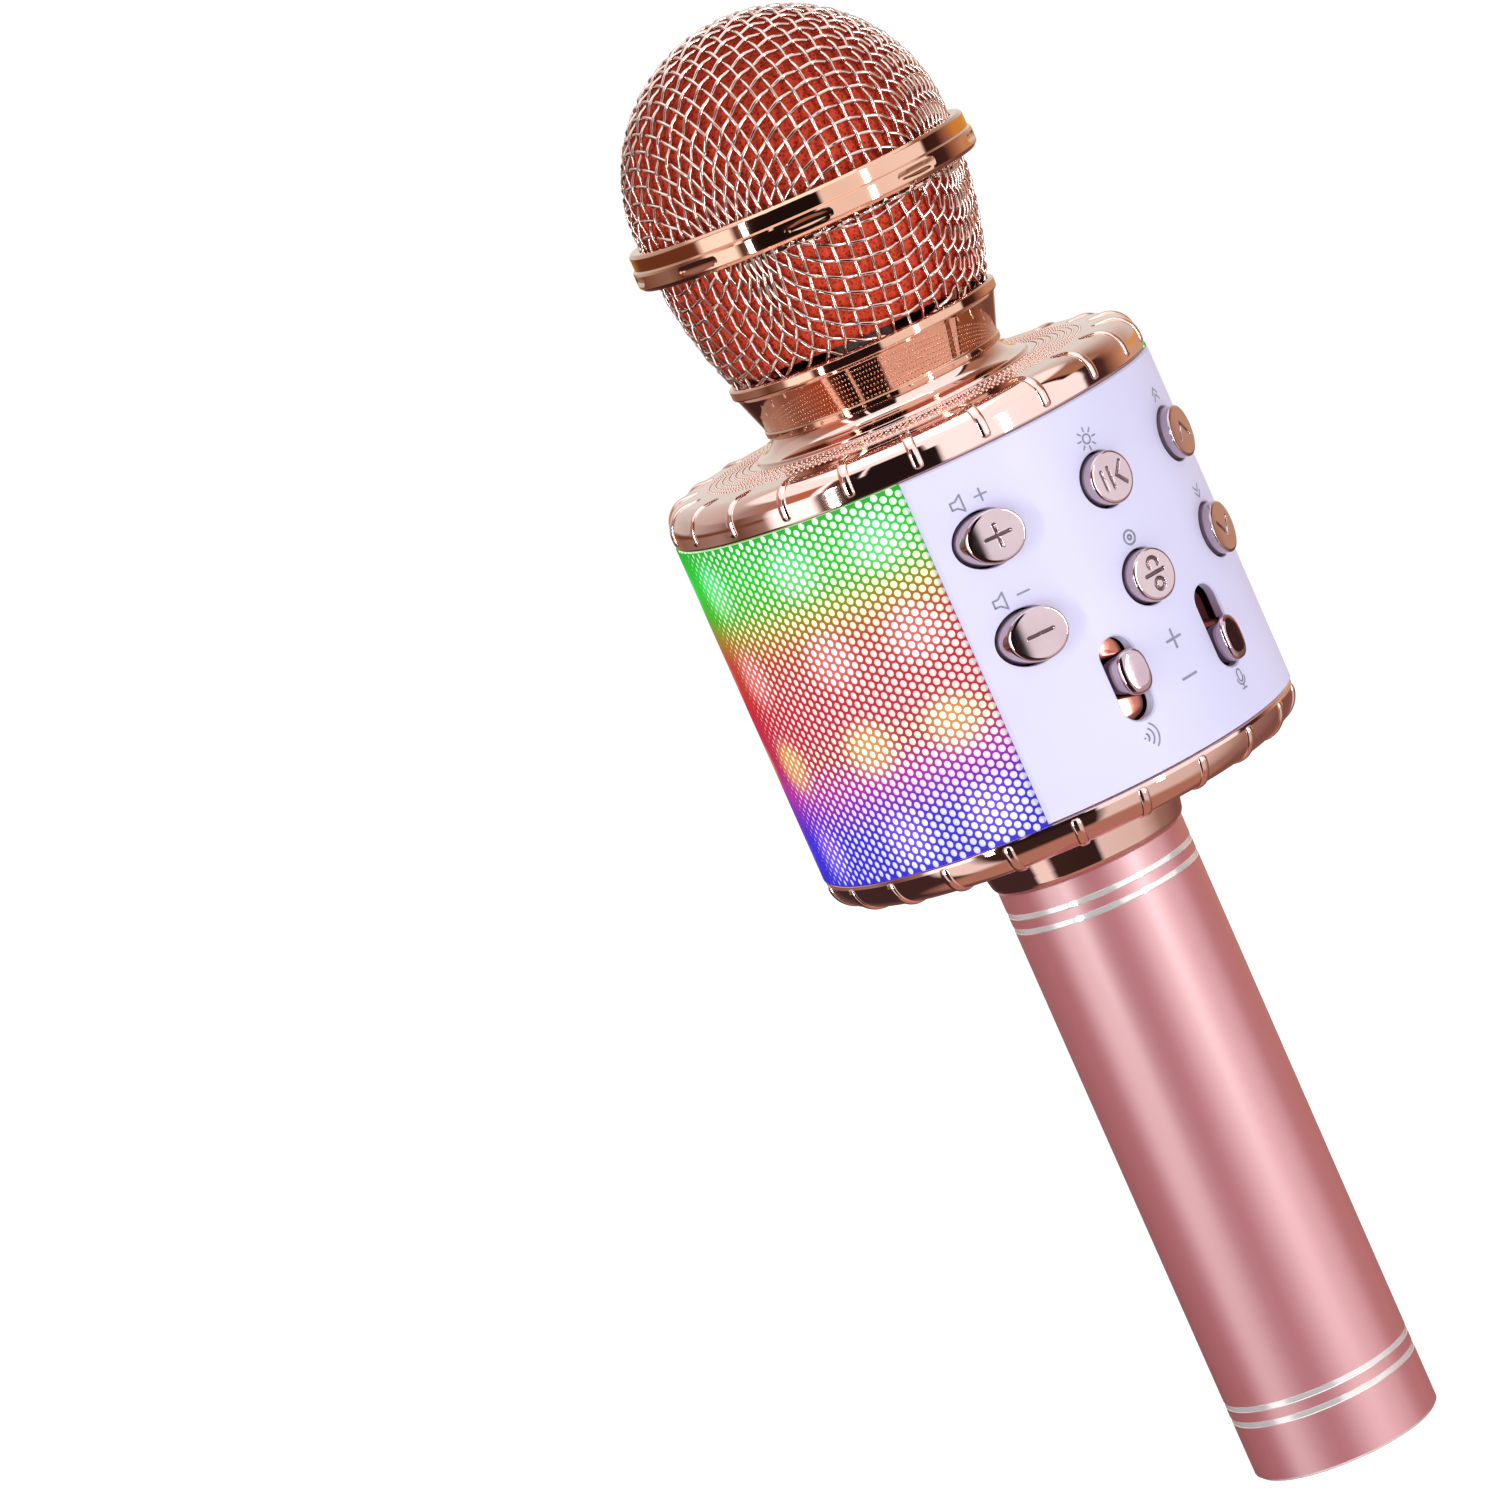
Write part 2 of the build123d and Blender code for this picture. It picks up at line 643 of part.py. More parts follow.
def make_speaker_frame(side):
    back = (MAGNET_HIGH, MAGNET_HIGH + BASKET_WALL)
    outer_r = BAFFLE_HOLE_R - 0.3
    inner_r = outer_r - BASKET_WALL
    basket = turned([
        (GAP_OUTER_R, back[0]), (MAGNET_R - 0.2, back[0]), (outer_r, RIM_LOW - 1.6), (outer_r, RIM_LOW),
        (SPEAKER_R, RIM_LOW), (SPEAKER_R, RIM_HIGH), (inner_r, RIM_HIGH), (inner_r, RIM_LOW - 1.3),
        (MAGNET_R - 0.6, back[1]), (GAP_OUTER_R, back[1]),
    ])
    solder_tab = block(around(0, 3), (-13.6, -9), back)
    turn = 90 if side < 0 else -90
    return facing(side, basket + Rot(0, 0, turn) * solder_tab)


def make_speaker_cone(side):
    inner_r, outer_r = COIL_R
    rim_low = CONE_RIM_HIGH - CONE_WALL
    cap_low = DUST_CAP_HIGH - DUST_CAP_WALL
    return facing(side, turned([
        (inner_r, COIL_LOW), (outer_r, COIL_LOW), (outer_r, 9), (CONE_RIM_R, rim_low),
        (CONE_RIM_R, CONE_RIM_HIGH), (CONE_RIM_R - DUST_CAP_WALL, CONE_RIM_HIGH), (6, 10), (3, 11), (0, DUST_CAP_HIGH),
        (0, cap_low), (3, 10.4), (inner_r, 9.6),
    ]))


def make_speaker_surrounds():
    inner, outer = ROLL_TUBE_R
    roll = Pos(0, 0, RIM_HIGH) * (Torus(ROLL_R, outer) - Torus(ROLL_R, inner))
    roll = roll & rod(SPEAKER_R, RIM_HIGH, RIM_HIGH + 2) - rod(ROLL_INNER_R, RIM_LOW, RIM_HIGH + 3)
    lip = tube(SPEAKER_R - 0.7, GASKET_R, RIM_HIGH, GASKET_HIGH)
    return Compound(children=[facing(side, roll + lip) for side in (-1, 1)])


# ---------------------------------------------------------------- neck and handle

def make_lower_neck():
    return turned([
        (NECK_BORE_R, HANDLE_TOP), (NECK_WAIST_R, HANDLE_TOP), (NECK_WAIST_R + 0.5, HANDLE_TOP + 2.0),
        (NECK_BELLY_R, HANDLE_TOP + 4.6), (NECK_BELLY_R, HANDLE_TOP + 6.0), (NECK_FLARE_R, NECK_TOP),
        (NECK_BORE_R, NECK_TOP),
    ])


def make_handle_coupler():
    top = NECK_TOP + CAP_WALL + NUT_HIGH
    return turned([
        (COUPLER_BORE_R, COUPLER_LOW), (INSERT_R, COUPLER_LOW), (INSERT_R, HANDLE_TOP),
        (COUPLER_R, HANDLE_TOP),
        (COUPLER_R, top), (COUPLER_BORE_R, top),
    ])


def make_neck_nut():
    floor = NECK_TOP + CAP_WALL
    nut = Pos(0, 0, floor) * extrude(RegularPolygon(NUT_R, 6), NUT_HIGH)
    return nut - rod(COUPLER_R + 0.05, floor - 1, floor + NUT_HIGH + 1)


def make_handle_tube():
    return turned([
        (HANDLE_BORE_R, 0), (HANDLE_R - HANDLE_CHAMFER, 0), (HANDLE_R, HANDLE_CHAMFER),
        (HANDLE_R, HANDLE_TOP), (HANDLE_BORE_R, HANDLE_TOP),
    ])


def make_battery_cell():
    top = BATTERY_HIGH
    shoulder = top - TERMINAL_HIGH
    return turned([
        (0, BATTERY_LOW), (BATTERY_R, BATTERY_LOW), (BATTERY_R, shoulder), (TERMINAL_R, shoulder),
        (TERMINAL_R, top), (0, top),
    ])


def make_battery_holder():
    low = BATTERY_LOW - HOLDER_ENDS[0]
    high = BATTERY_HIGH + HOLDER_ENDS[1]
    shell = rod(HOLDER_R, low, high) - rod(BATTERY_R + 0.1, BATTERY_LOW, BATTERY_HIGH)
    return shell - block((-20, 20), (HOLDER_OPEN_Y, 20), (low - 1, high + 1))


def port_boss_places():
    x, y = PORT_BOSS
    return [(x, -y), (x, y)]


def make_end_cap():
    skirt_inner, skirt_high = END_CAP_SKIRT
    cap = rod(INSERT_R, 0, END_CAP_WALL) + tube(INSERT_R, skirt_inner, 0, skirt_high)
    for x, y in port_boss_places():
        cap += rod(PORT_BOSS_R, END_CAP_WALL, PORT_BOARD_LOW, x, y)
        cap -= rod(SCREW_R + 0.02, PORT_BOARD_LOW - SCREW_LENGTH, PORT_BOARD_LOW + 1, x, y)
    cap -= rod(JACK_NOSE_R + 0.05, -1, END_CAP_WALL + 1, JACK_X)
    cut = (-1, END_CAP_WALL + 1)
    cap -= block(around(0, CHARGE[0] + 0.1), around(CHARGE_Y, CHARGE[1] + 0.1), cut)
    cap -= block(around(CARD_X, CARD_SLIT[0] + 0.4), around(0, CARD_SLIT[1] + 0.4), cut)
    return cap - block(around(0, POWER_SLOT[0]), around(POWER_Y, POWER_SLOT[1]), cut)


def make_port_board():
    low = PORT_BOARD_LOW
    board = rod(PORT_BOARD_R, low, low + BOARD_WALL)
    for x, y in port_boss_places():
        board -= rod(SCREW_R + 0.1, low - 1, low + BOARD_WALL + 1, x, y)
    return board


def make_audio_jack():
    bore_r, bore_deep = JACK_BORE
    body = rod(JACK_R, END_CAP_WALL, PORT_BOARD_LOW, JACK_X) + rod(JACK_NOSE_R, 0.2, END_CAP_WALL, JACK_X)
    return body - rod(bore_r, -1, bore_deep, JACK_X)


def make_charging_socket():
    width, tall, deep = CHARGE_MOUTH
    shell = block(around(0, CHARGE[0]), around(CHARGE_Y, CHARGE[1]), (0.2, PORT_BOARD_LOW))
    mouth = block(around(0, width), around(CHARGE_Y, tall), (-1, deep))
    tongue_width, tongue_wall, tongue_low = CHARGE_TONGUE
    tongue = block(around(0, tongue_width), around(CHARGE_Y + 0.3, tongue_wall), (tongue_low, deep))
    return shell - mouth + tongue


def make_card_slot():
    width, height, deep = CARD_SLIT
    shell = block(around(CARD_X, CARD[0]), around(0, CARD[1]), (END_CAP_WALL, PORT_BOARD_LOW))
    return shell - block(around(CARD_X, width), around(0, height), (-1, deep))


def make_power_switch_body():
    width, height = POWER_BODY
    body = block(around(0, width), around(POWER_Y, height), (POWER_BODY_LOW, PORT_BOARD_LOW))
    travel, slot, deep = POWER_GUIDE
    return body - block(around(0, travel), around(POWER_Y, slot), (POWER_BODY_LOW - 1, POWER_BODY_LOW + deep))


def make_power_switch_knob():
    width, height = POWER_KNOB
    neck = POWER_BODY_LOW - 0.4
    knob = block(around(POWER_REST, width), around(POWER_Y, height), (0.5, neck))
    tongue_width, tongue_height, deep = POWER_TONGUE
    tongue_z = (neck, POWER_BODY_LOW + deep)
    return knob + block(around(POWER_REST, tongue_width), around(POWER_Y, tongue_height), tongue_z)


# ---------------------------------------------------------------- leads, each held all the way by the housing

def plug_face(place):
    """The point on the back of a board connector where its lead comes out."""
    return (place[0], BOARD_BACK + CONNECTOR, place[1])


def make_mic_lead():
    return path_tube([(0, 0, CAPSULE_LOW), (0, 0, 172), (0, -8, 162), plug_face(MIC_PLUG)], LEAD_R)


def make_battery_lead():
    return path_tube([plug_face(BATTERY_PLUG), (0, -8, 122), (0, 0, 112), (0, 0, BATTERY_HIGH + 1)], LEAD_R)


def make_port_lead():
    trough = 11.2
    return path_tube([
        plug_face(PORT_PLUG), (-5, -10, 122), (-2.5, -1.5, 112.5), (0, 5.6, 104), (0, 6.4, 95.5),
        (0, trough, 86), (0, trough, PORT_BOARD_LOW + BOARD_WALL),
    ], LEAD_R)


def make_speaker_leads():
    leads = []
    tab_x = SPEAKER_BACK + 6
    tab_z = SPEAKER_Z - 12.4
    for side in (-1, 1):
        x, z = SPEAKER_PLUG
        start = plug_face((side * x, z))
        route = [start, (side * x, -9, z), (side * 9, 0, tab_z), (side * tab_x, 0, tab_z)]
        leads.append(path_tube(route, LEAD_R))
    return Compound(children=leads)


# ---------------------------------------------------------------- the whole microphone

def make_parts():
    parts = {
        "grille_dome": make_grille_dome(),
        "grille_basket": make_grille_basket(),
        "grille_ring": make_grille_ring(),
        "foam_liner": make_foam_liner(),
        "mic_capsule": make_mic_capsule(),
        "capsule_cradle": make_capsule_cradle(),
        "capsule_post": make_capsule_post(),
        "head_collar": make_head_collar(),
        "top_cap": make_top_cap(),
        "bottom_cap": make_bottom_cap(),
        "drum_screws": make_drum_screws(),
        "chassis": make_chassis(),
        "front_panel": make_front_panel(),
        "back_panel": make_back_panel(),
        "led_strips": make_led_strips(),
        "main_board": make_main_board(),
        "board_screws": make_board_screws(),
        "tact_switches": make_tact_switches(),
        "slide_pots": make_slide_pots(),
        "board_chips": make_board_chips(),
        "board_connectors": make_board_connectors(),
        "echo_slider": make_slider(-SLIDER_COLUMN, ECHO_REST),
        "voice_slider": make_slider(SLIDER_COLUMN, VOICE_REST),
        "speaker_surrounds": make_speaker_surrounds(),
        "lower_neck": make_lower_neck(),
        "handle_coupler": make_handle_coupler(),
        "neck_nut": make_neck_nut(),
        "handle_tube": make_handle_tube(),
        "battery_cell": make_battery_cell(),
        "battery_holder": make_battery_holder(),
        "end_cap": make_end_cap(),
        "port_board": make_port_board(),
        "audio_jack": make_audio_jack(),
        "charging_socket": make_charging_socket(),
        "card_slot": make_card_slot(),
        "power_switch_body": make_power_switch_body(),
        "power_switch_knob": make_power_switch_knob(),
        "mic_lead": make_mic_lead(),
        "speaker_leads": make_speaker_leads(),
        "battery_lead": make_battery_lead(),
        "port_lead": make_port_lead(),
    }
    for name, (x, z) in key_places().items():
        parts[name] = make_key(x, z)
    for name, side in (("left", -1), ("right", 1)):
        parts[name + "_grille"] = make_side_wall(side, GRILLE_R, GRILLE_WALL)
        parts[name + "_diffuser"] = make_side_wall(side, GRILLE_R - GRILLE_WALL - 0.05, DIFFUSER_WALL)
        parts[name + "_leds"] = make_leds(side)
        parts[name + "_speaker_magnet"] = make_speaker_magnet(side)
        parts[name + "_speaker_frame"] = make_speaker_frame(side)
        parts[name + "_speaker_cone"] = make_speaker_cone(side)
    return parts


os.makedirs("parts", exist_ok=True)
for node, shape in make_parts().items():
    export_step(shape, f"parts/{node}.step")
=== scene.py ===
import json
import math
from math import cos, pi, radians, sin, sqrt

import bpy
import numpy as np
from mathutils import Matrix, Vector
from mathutils.geometry import delaunay_2d_cdt


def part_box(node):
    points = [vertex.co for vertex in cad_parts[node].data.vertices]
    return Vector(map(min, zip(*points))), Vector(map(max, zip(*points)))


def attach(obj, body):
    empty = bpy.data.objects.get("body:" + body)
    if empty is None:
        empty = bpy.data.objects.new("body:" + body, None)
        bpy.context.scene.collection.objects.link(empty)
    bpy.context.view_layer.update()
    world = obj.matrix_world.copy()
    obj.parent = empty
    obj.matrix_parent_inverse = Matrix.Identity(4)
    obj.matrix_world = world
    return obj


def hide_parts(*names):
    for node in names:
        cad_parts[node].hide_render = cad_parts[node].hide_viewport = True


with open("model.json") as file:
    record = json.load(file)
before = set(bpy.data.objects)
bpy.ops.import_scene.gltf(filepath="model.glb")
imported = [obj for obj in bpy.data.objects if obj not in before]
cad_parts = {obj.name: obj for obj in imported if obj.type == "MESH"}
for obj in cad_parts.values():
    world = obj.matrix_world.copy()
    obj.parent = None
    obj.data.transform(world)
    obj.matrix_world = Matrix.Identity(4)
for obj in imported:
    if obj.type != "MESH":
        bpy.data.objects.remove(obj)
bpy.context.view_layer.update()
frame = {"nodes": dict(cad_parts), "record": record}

# Lengths below are millimetres unless a name says otherwise; pieces are built in metres.
MM = 0.001
HOUSING = "housing"


def levels(node):
    """The lowest and highest Z of a CAD node, in millimetres."""
    low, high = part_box(node)
    return low.z / MM, high.z / MM


def reach(node):
    """A CAD node's largest X, in millimetres: the radius of a round one."""
    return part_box(node)[1].x / MM


DRUM_LOW, DRUM_HIGH = levels("left_grille")
DRUM_R = -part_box("left_grille")[0].x / MM
PANEL_R = -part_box("front_panel")[0].y / MM
CAP_R = DRUM_R - 0.3
RING_LOW, RING_HIGH = levels("grille_ring")
RING_R = reach("grille_ring")
COLLAR_LOW, COLLAR_HIGH = levels("head_collar")
DOME_R = reach("grille_dome")
DOME_CENTRE = levels("grille_dome")[1] - DOME_R
HANDLE_R = reach("handle_tube")
HANDLE_HIGH = levels("handle_tube")[1]
NECK_HIGH = levels("lower_neck")[1]
TOP_CAP_HIGH = 177.2
PANEL_HALF = radians(43)


# ---- camera, at the photograph's angle

AZIMUTH = radians(38)
ELEVATION = radians(8.12)
DISTANCE = 1100.2
AIM_Z = 142.54
AIM_RIGHT = radians(2.167)
AIM_DOWN = radians(-0.233)
ROLL = radians(23.79)
SENSOR = 36
FOCAL = 171.0

# Unit directions on the ground: towards the camera, and to the camera's right.
TO_CAMERA = Vector((-sin(AZIMUTH), -cos(AZIMUTH), 0))
TO_RIGHT = Vector((cos(AZIMUTH), -sin(AZIMUTH), 0))


def add_object(name, data):
    made = bpy.data.objects.new(name, data)
    bpy.context.scene.collection.objects.link(made)
    return made


def add_camera():
    data = bpy.data.cameras.new("camera")
    data.lens = FOCAL
    data.sensor_width = SENSOR
    data.clip_end = 20
    camera = add_object("camera", data)
    forward = -TO_CAMERA * cos(ELEVATION) - Vector((0, 0, sin(ELEVATION)))
    place = Vector((0, 0, AIM_Z)) - forward * DISTANCE
    right = TO_RIGHT.copy()
    up = right.cross(forward)
    turn = Matrix.Rotation(AIM_RIGHT, 3, up)
    forward, right = turn @ forward, turn @ right
    forward = Matrix.Rotation(AIM_DOWN, 3, right) @ forward
    up = right.cross(forward)
    rolled_right = right * cos(ROLL) - up * sin(ROLL)
    rolled_up = up * cos(ROLL) + right * sin(ROLL)
    pose = Matrix((rolled_right, rolled_up, -forward)).transposed().to_4x4()
    pose.translation = place * MM
    camera.matrix_world = pose
    bpy.context.scene.camera = camera


# ---- node materials

class Nodes:
    """Wires one node tree. An output given as an input's value is linked; anything else is a constant."""

    def __init__(self, tree):
        self.tree = tree

    def feed(self, node, socket, value):
        if isinstance(value, bpy.types.NodeSocket):
            self.tree.links.new(value, node.inputs[socket])
        else:
            node.inputs[socket].default_value = value

    def node(self, kind, output=0, **settings):
        """Adds a node and gives one of its outputs. Settings that start with in_ are inputs, by name or number."""
        made = self.tree.nodes.new("ShaderNode" + kind)
        for key, value in settings.items():
            if key.startswith("in_"):
                socket = key[3:].replace("_", " ")
                self.feed(made, int(socket) if socket.isdigit() else socket, value)
            else:
                setattr(made, key, value)
        return made.outputs[output]

    def math(self, operation, first, second=0.5):
        return self.node("Math", operation=operation, in_0=first, in_1=second)

    def mix(self, factor, first, second):
        return self.node("Mix", 2, data_type="RGBA", in_Factor=factor, in_6=first, in_7=second)

    def remap(self, value, from_low, from_high, low=0.0, high=1.0, **settings):
        return self.node("MapRange", in_Value=value, in_From_Min=from_low, in_From_Max=from_high,
                         in_To_Min=low, in_To_Max=high, **settings)

    def ramp(self, value, stops):
        colour = self.node("ValToRGB", in_Fac=value)
        elements = colour.node.color_ramp.elements
        while len(elements) < len(stops):
            elements.new(0.5)
        while len(elements) > len(stops):
            elements.remove(elements[-1])
        for element, (position, tone) in zip(elements, stops):
            element.position = position
            element.color = (*tone, 1)
        return colour


class Paint(Nodes):
    """One node material."""

    def __init__(self, name, **sockets):
        self.material = bpy.data.materials.new(name)
        self.material.use_nodes = True
        super().__init__(self.material.node_tree)
        self.set(**sockets)

    def set(self, **sockets):
        """Feeds the shader's own inputs."""
        for socket, value in sockets.items():
            self.feed(self.tree.nodes["Principled BSDF"], socket.replace("_", " "), value)

    def place(self):
        return self.node("TexCoord", "Object")

    def noise(self, scale, detail=3.0, stretch=(1, 1, 1)):
        place = self.node("Mapping", in_Vector=self.place(), in_Scale=stretch)
        return self.node("TexNoise", in_Vector=place, in_Scale=scale, in_Detail=detail)

    def colour(self, value, dark, light, low=0.3, high=0.7):
        self.set(Base_Color=self.ramp(value, [(low, dark), (high, light)]))

    def rough(self, value, low, high):
        """Maps 0.3 to 0.7 of a noise to a range of roughness."""
        self.set(Roughness=self.remap(value, 0.3, 0.7, low, high))

    def bump(self, height, strength, distance):
        self.set(Normal=self.node("Bump", in_Height=height, in_Strength=strength, in_Distance=distance))


def finish(name, dark, light, scale, rough, bump=(0.1, 0.00002), stretch=(1, 1, 1), fine=6.0, **sockets):
    """A general finish: colour mottled between two tones, uneven roughness, and a fine relief."""
    paint = Paint(name, **sockets)
    paint.colour(paint.noise(scale, 3.0, stretch), dark, light)
    paint.rough(paint.noise(scale * 2.7, 3.0, stretch), *rough)
    paint.bump(paint.noise(scale * fine, 2.0, stretch), *bump)
    return paint.material


def plating(name, dark, light, scale, rough, bump=(0.03, 0.00001)):
    return finish(name, dark, light, scale, rough, bump, Metallic=1.0)


# ---- mesh tools

def shape(name, verts, faces, materials, indices=None):
    """A smooth mesh object from millimetre points."""
    mesh = bpy.data.meshes.new(name)
    places = [tuple(v * MM for v in vert) for vert in verts]
    mesh.from_pydata(places, [], [tuple(map(int, face)) for face in faces])
    mesh.validate()
    for material in materials:
        mesh.materials.append(material)
    if indices is not None:
        mesh.polygons.foreach_set("material_index", np.asarray(indices, np.int32))
    mesh.polygons.foreach_set("use_smooth", np.ones(len(mesh.polygons), bool))
    return add_object(name, mesh)


def piece(name, verts, faces, materials, node=None, body=HOUSING, slot=None, indices=None):
    """A mesh piece that rides on a body and stands for a CAD node."""
    materials = materials if isinstance(materials, list) else [materials]
    return settle(shape(name, verts, faces, materials, indices), node, body, slot)


def settle(made, node=None, body=HOUSING, slot=None):
    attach(made, body)
    if node:
        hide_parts(node)
    return made


def arc(x, y, radius, start, end, count=20):
    """Points along a circle, between two angles in degrees."""
    return [(x + radius * cos(t), y + radius * sin(t)) for t in np.radians(np.linspace(start, end, count))]


def circle_loop(x, y, radius, count=72):
    return arc(x, y, radius, 0, 360, count + 1)[:-1]


def turned(points, angle):
    """Points turned about Z by an angle in radians."""
    turn = np.array([[cos(angle), -sin(angle), 0], [sin(angle), cos(angle), 0], [0, 0, 1]])
    return points @ turn.T


def band_faces(base, count, bands):
    """Quads between closed loops of count vertices each, which follow each other from base on."""
    return [
        (a + k, a + (k + 1) % count, a + count + (k + 1) % count, a + count + k)
        for a in range(base, base + bands * count, count) for k in range(count)
    ]


def fan_faces(base, count, tip):
    """Triangles from a closed loop of count vertices to one more."""
    return [(base + k, base + (k + 1) % count, tip) for k in range(count)]


def rounded(points, radii, steps=6, guard=0.12):
    """An open profile with its corners rounded; guard points beside each arc keep flats flat when shaded."""
    path = [Vector(p) for p in points]
    result = [path[0]]
    for number in range(1, len(path) - 1):
        radius = radii.get(number, 0.15)
        here = path[number]
        run_in = (here - path[number - 1])
        run_out = (path[number + 1] - here)
        turn = run_in.angle(run_out)
        if radius == 0 or turn < 0.02:
            result.append(here)
            continue
        cut = min(radius * math.tan(turn / 2), 0.48 * run_in.length, 0.48 * run_out.length)
        start = here - run_in.normalized() * cut
        end = here + run_out.normalized() * cut
        if run_in.length > 3 * cut:
            result.append(start - run_in.normalized() * min(guard, 0.3 * cut + 0.02))
        for step in range(steps + 1):
            t = step / steps
            result.append(start * (1 - t) ** 2 + here * 2 * t * (1 - t) + end * t ** 2)
        if run_out.length > 3 * cut:
            result.append(end + run_out.normalized() * min(guard, 0.3 * cut + 0.02))
    result.append(path[-1])
    return [tuple(p) for p in result]


def bend(start, control, end, steps=10):
    """Points of a quadratic curve, without its first."""
    a, b, c = Vector(start), Vector(control), Vector(end)
    ts = [step / steps for step in range(1, steps + 1)]
    return [tuple(a * (1 - t) ** 2 + b * 2 * t * (1 - t) + c * t ** 2) for t in ts]


def lathe(profile, segments=192, closed=False):
    """Vertices and faces of a profile of (radius, height) points turned about Z."""
    rows = np.array(profile, float)
    angles = np.linspace(0, 2 * pi, segments, endpoint=False)
    verts = np.stack([
        np.outer(rows[:, 0], np.cos(angles)), np.outer(rows[:, 0], np.sin(angles)),
        np.repeat(rows[:, 1:], segments, axis=1),
    ], axis=-1).reshape(-1, 3)
    last = (len(rows) - 1) * segments
    faces = band_faces(0, segments, len(rows) - 1)
    if closed:
        faces += [(last + k, last + (k + 1) % segments, (k + 1) % segments, k) for k in range(segments)]
    return verts, faces


def grid_faces(rows, columns):
    """Quads of a grid stored row by row."""
    return [
        (r * columns + c, r * columns + c + 1, (r + 1) * columns + c + 1, (r + 1) * columns + c)
        for r in range(rows - 1) for c in range(columns - 1)
    ]


def merged(verts, faces, tolerance=1e-3):
    """Joins vertices that share a place, and drops faces that have closed up."""
    keys = np.round(np.asarray(verts) / tolerance).astype(np.int64)
    _, first, index = np.unique(keys, axis=0, return_index=True, return_inverse=True)
    index = index.reshape(-1)
    kept = []
    for face in faces:
        loop = []
        for vert in (index[v] for v in face):
            if vert not in loop:
                loop.append(vert)
        if len(loop) > 2:
            kept.append(loop)
    return np.asarray(verts)[first], kept


# ---- finishes

PLATE = plating("rose_plating", (0.78, 0.55, 0.49), (0.83, 0.60, 0.55), 60, (0.03, 0.07), (0.03, 0.00002))
# A darker, warmer copy of the rose plating for the ring and collar: its tone paints in the darker, warmer
# reflections seen on the head.
SHADED_HEAD_PLATE = plating("head_plating_shaded", (0.63, 0.37, 0.26), (0.69, 0.42, 0.31), 60, (0.03, 0.07), (0.03, 0.00002))
KEY_PLATE = plating("key_plating", (0.53, 0.41, 0.43), (0.58, 0.46, 0.48), 160, (0.05, 0.10))
# A darker copy of the key plating for the slider knobs: painted shade that tones down the bright reflection on
# their faces.
SHADED_KNOB_PLATE = plating("knob_plating_shaded", (0.46, 0.34, 0.38), (0.50, 0.38, 0.42), 160, (0.05, 0.10))
# A dark red copy of the key plating for the plates deep in the slider slots: painted shade of the recess.
SHADED_SKIRT_PLATE = plating("skirt_plating_shaded", (0.26, 0.08, 0.06), (0.34, 0.12, 0.09), 160, (0.10, 0.16))
WIRE = plating("mesh_wire", (0.60, 0.44, 0.39), (0.76, 0.58, 0.53), 220, (0.04, 0.08), (0.05, 0.00002))
PANEL = finish("panel_plastic", (0.640, 0.620, 0.850), (0.675, 0.655, 0.880), 45, (0.34, 0.42),
               (0.03, 0.00001), fine=40.0, Specular_IOR_Level=0.25)
# A dark finish on the floors of the keys' engraved strokes: painted shade and dark reflection in the grooves.
SHADED_SIGN_FLOOR = finish("sign_floor_shaded", (0.10, 0.07, 0.08), (0.16, 0.11, 0.12), 300, (0.25, 0.35), (0.1, 0.00001),
                  Metallic=0.8)
PRINT = finish("panel_print", (0.22, 0.22, 0.30), (0.28, 0.28, 0.37), 900, (0.45, 0.6))
SILVER_CUT = finish("cut_edge", (0.84, 0.82, 0.83), (0.94, 0.92, 0.93), 400, (0.12, 0.22), stretch=(1, 1, 12),
                    Metallic=0.55)
DARK = finish("dark_plastic", (0.012, 0.012, 0.014), (0.026, 0.026, 0.03), 500, (0.42, 0.6), (0.3, 0.00004))


def anodised_finish():
    """Satin anodised tube: a very fine blasted grain with faint lengthways drawing lines."""
    paint = Paint("anodised", Metallic=0.15, IOR=2.6, Coat_Weight=1.0, Coat_Roughness=0.36, Coat_IOR=2.3)
    drawing = paint.noise(260, 4.0, (1, 1, 0.03))
    paint.colour(drawing, (0.47, 0.085, 0.115), (0.53, 0.115, 0.150), 0.25, 0.75)
    blast = paint.noise(2600)
    paint.rough(blast, 0.38, 0.46)
    paint.bump(blast, 0.10, 0.00002)
    return paint.material


def foam_finish():
    """Open-cell foam: cell walls over pores darkened as painted shade."""
    paint = Paint("foam", Roughness=0.95, Specular_IOR_Level=0.1)
    cells = paint.node("TexVoronoi", in_Vector=paint.place(), in_Scale=1900)
    # The dark tone at the cells' middles is painted shade in the pores.
    paint.colour(cells, (0.20, 0.014, 0.007), (0.70, 0.072, 0.034), 0.08, 0.55)
    paint.bump(cells, 0.5, 0.0003)
    return paint.material


# The lights behind a window, whose glow is painted onto the window's sheet and diffuser: their angles from its
# middle, their heights up it, and their radius.
SPOT_ANGLES = (14.5, 36.5)
SPOT_HEIGHTS = (0.094, 0.357, 0.620, 0.883)
SPOT_R = 4.4


def window_light(paint):
    """The height up the window, 0 to 1, and how near the surface is to a light, 0 to 1."""
    place = paint.node("SeparateXYZ", in_Vector=paint.place()).node.outputs
    height = paint.remap(place["Z"], DRUM_LOW * MM, DRUM_HIGH * MM)

    def nearest(value, marks):
        """How far a value is from the nearest mark."""
        least = None
        for mark in marks:
            gap = paint.math("ABSOLUTE", paint.math("SUBTRACT", value, mark))
            least = gap if least is None else paint.math("MINIMUM", least, gap)
        return least

    out, side = paint.math("ABSOLUTE", place["X"]), paint.math("ABSOLUTE", place["Y"])
    around = paint.math("MULTIPLY", paint.math("ARCTAN2", side, out), DRUM_R)
    across = nearest(around, [radians(angle) * DRUM_R for angle in SPOT_ANGLES])
    up = paint.math("MULTIPLY", nearest(height, SPOT_HEIGHTS), DRUM_HIGH - DRUM_LOW)
    squares = paint.math("ADD", paint.math("POWER", across, 2), paint.math("POWER", up, 2))
    near = paint.remap(paint.math("SQRT", squares), SPOT_R * 1.45, SPOT_R * 0.3, interpolation_type="SMOOTHSTEP")
    return height, near
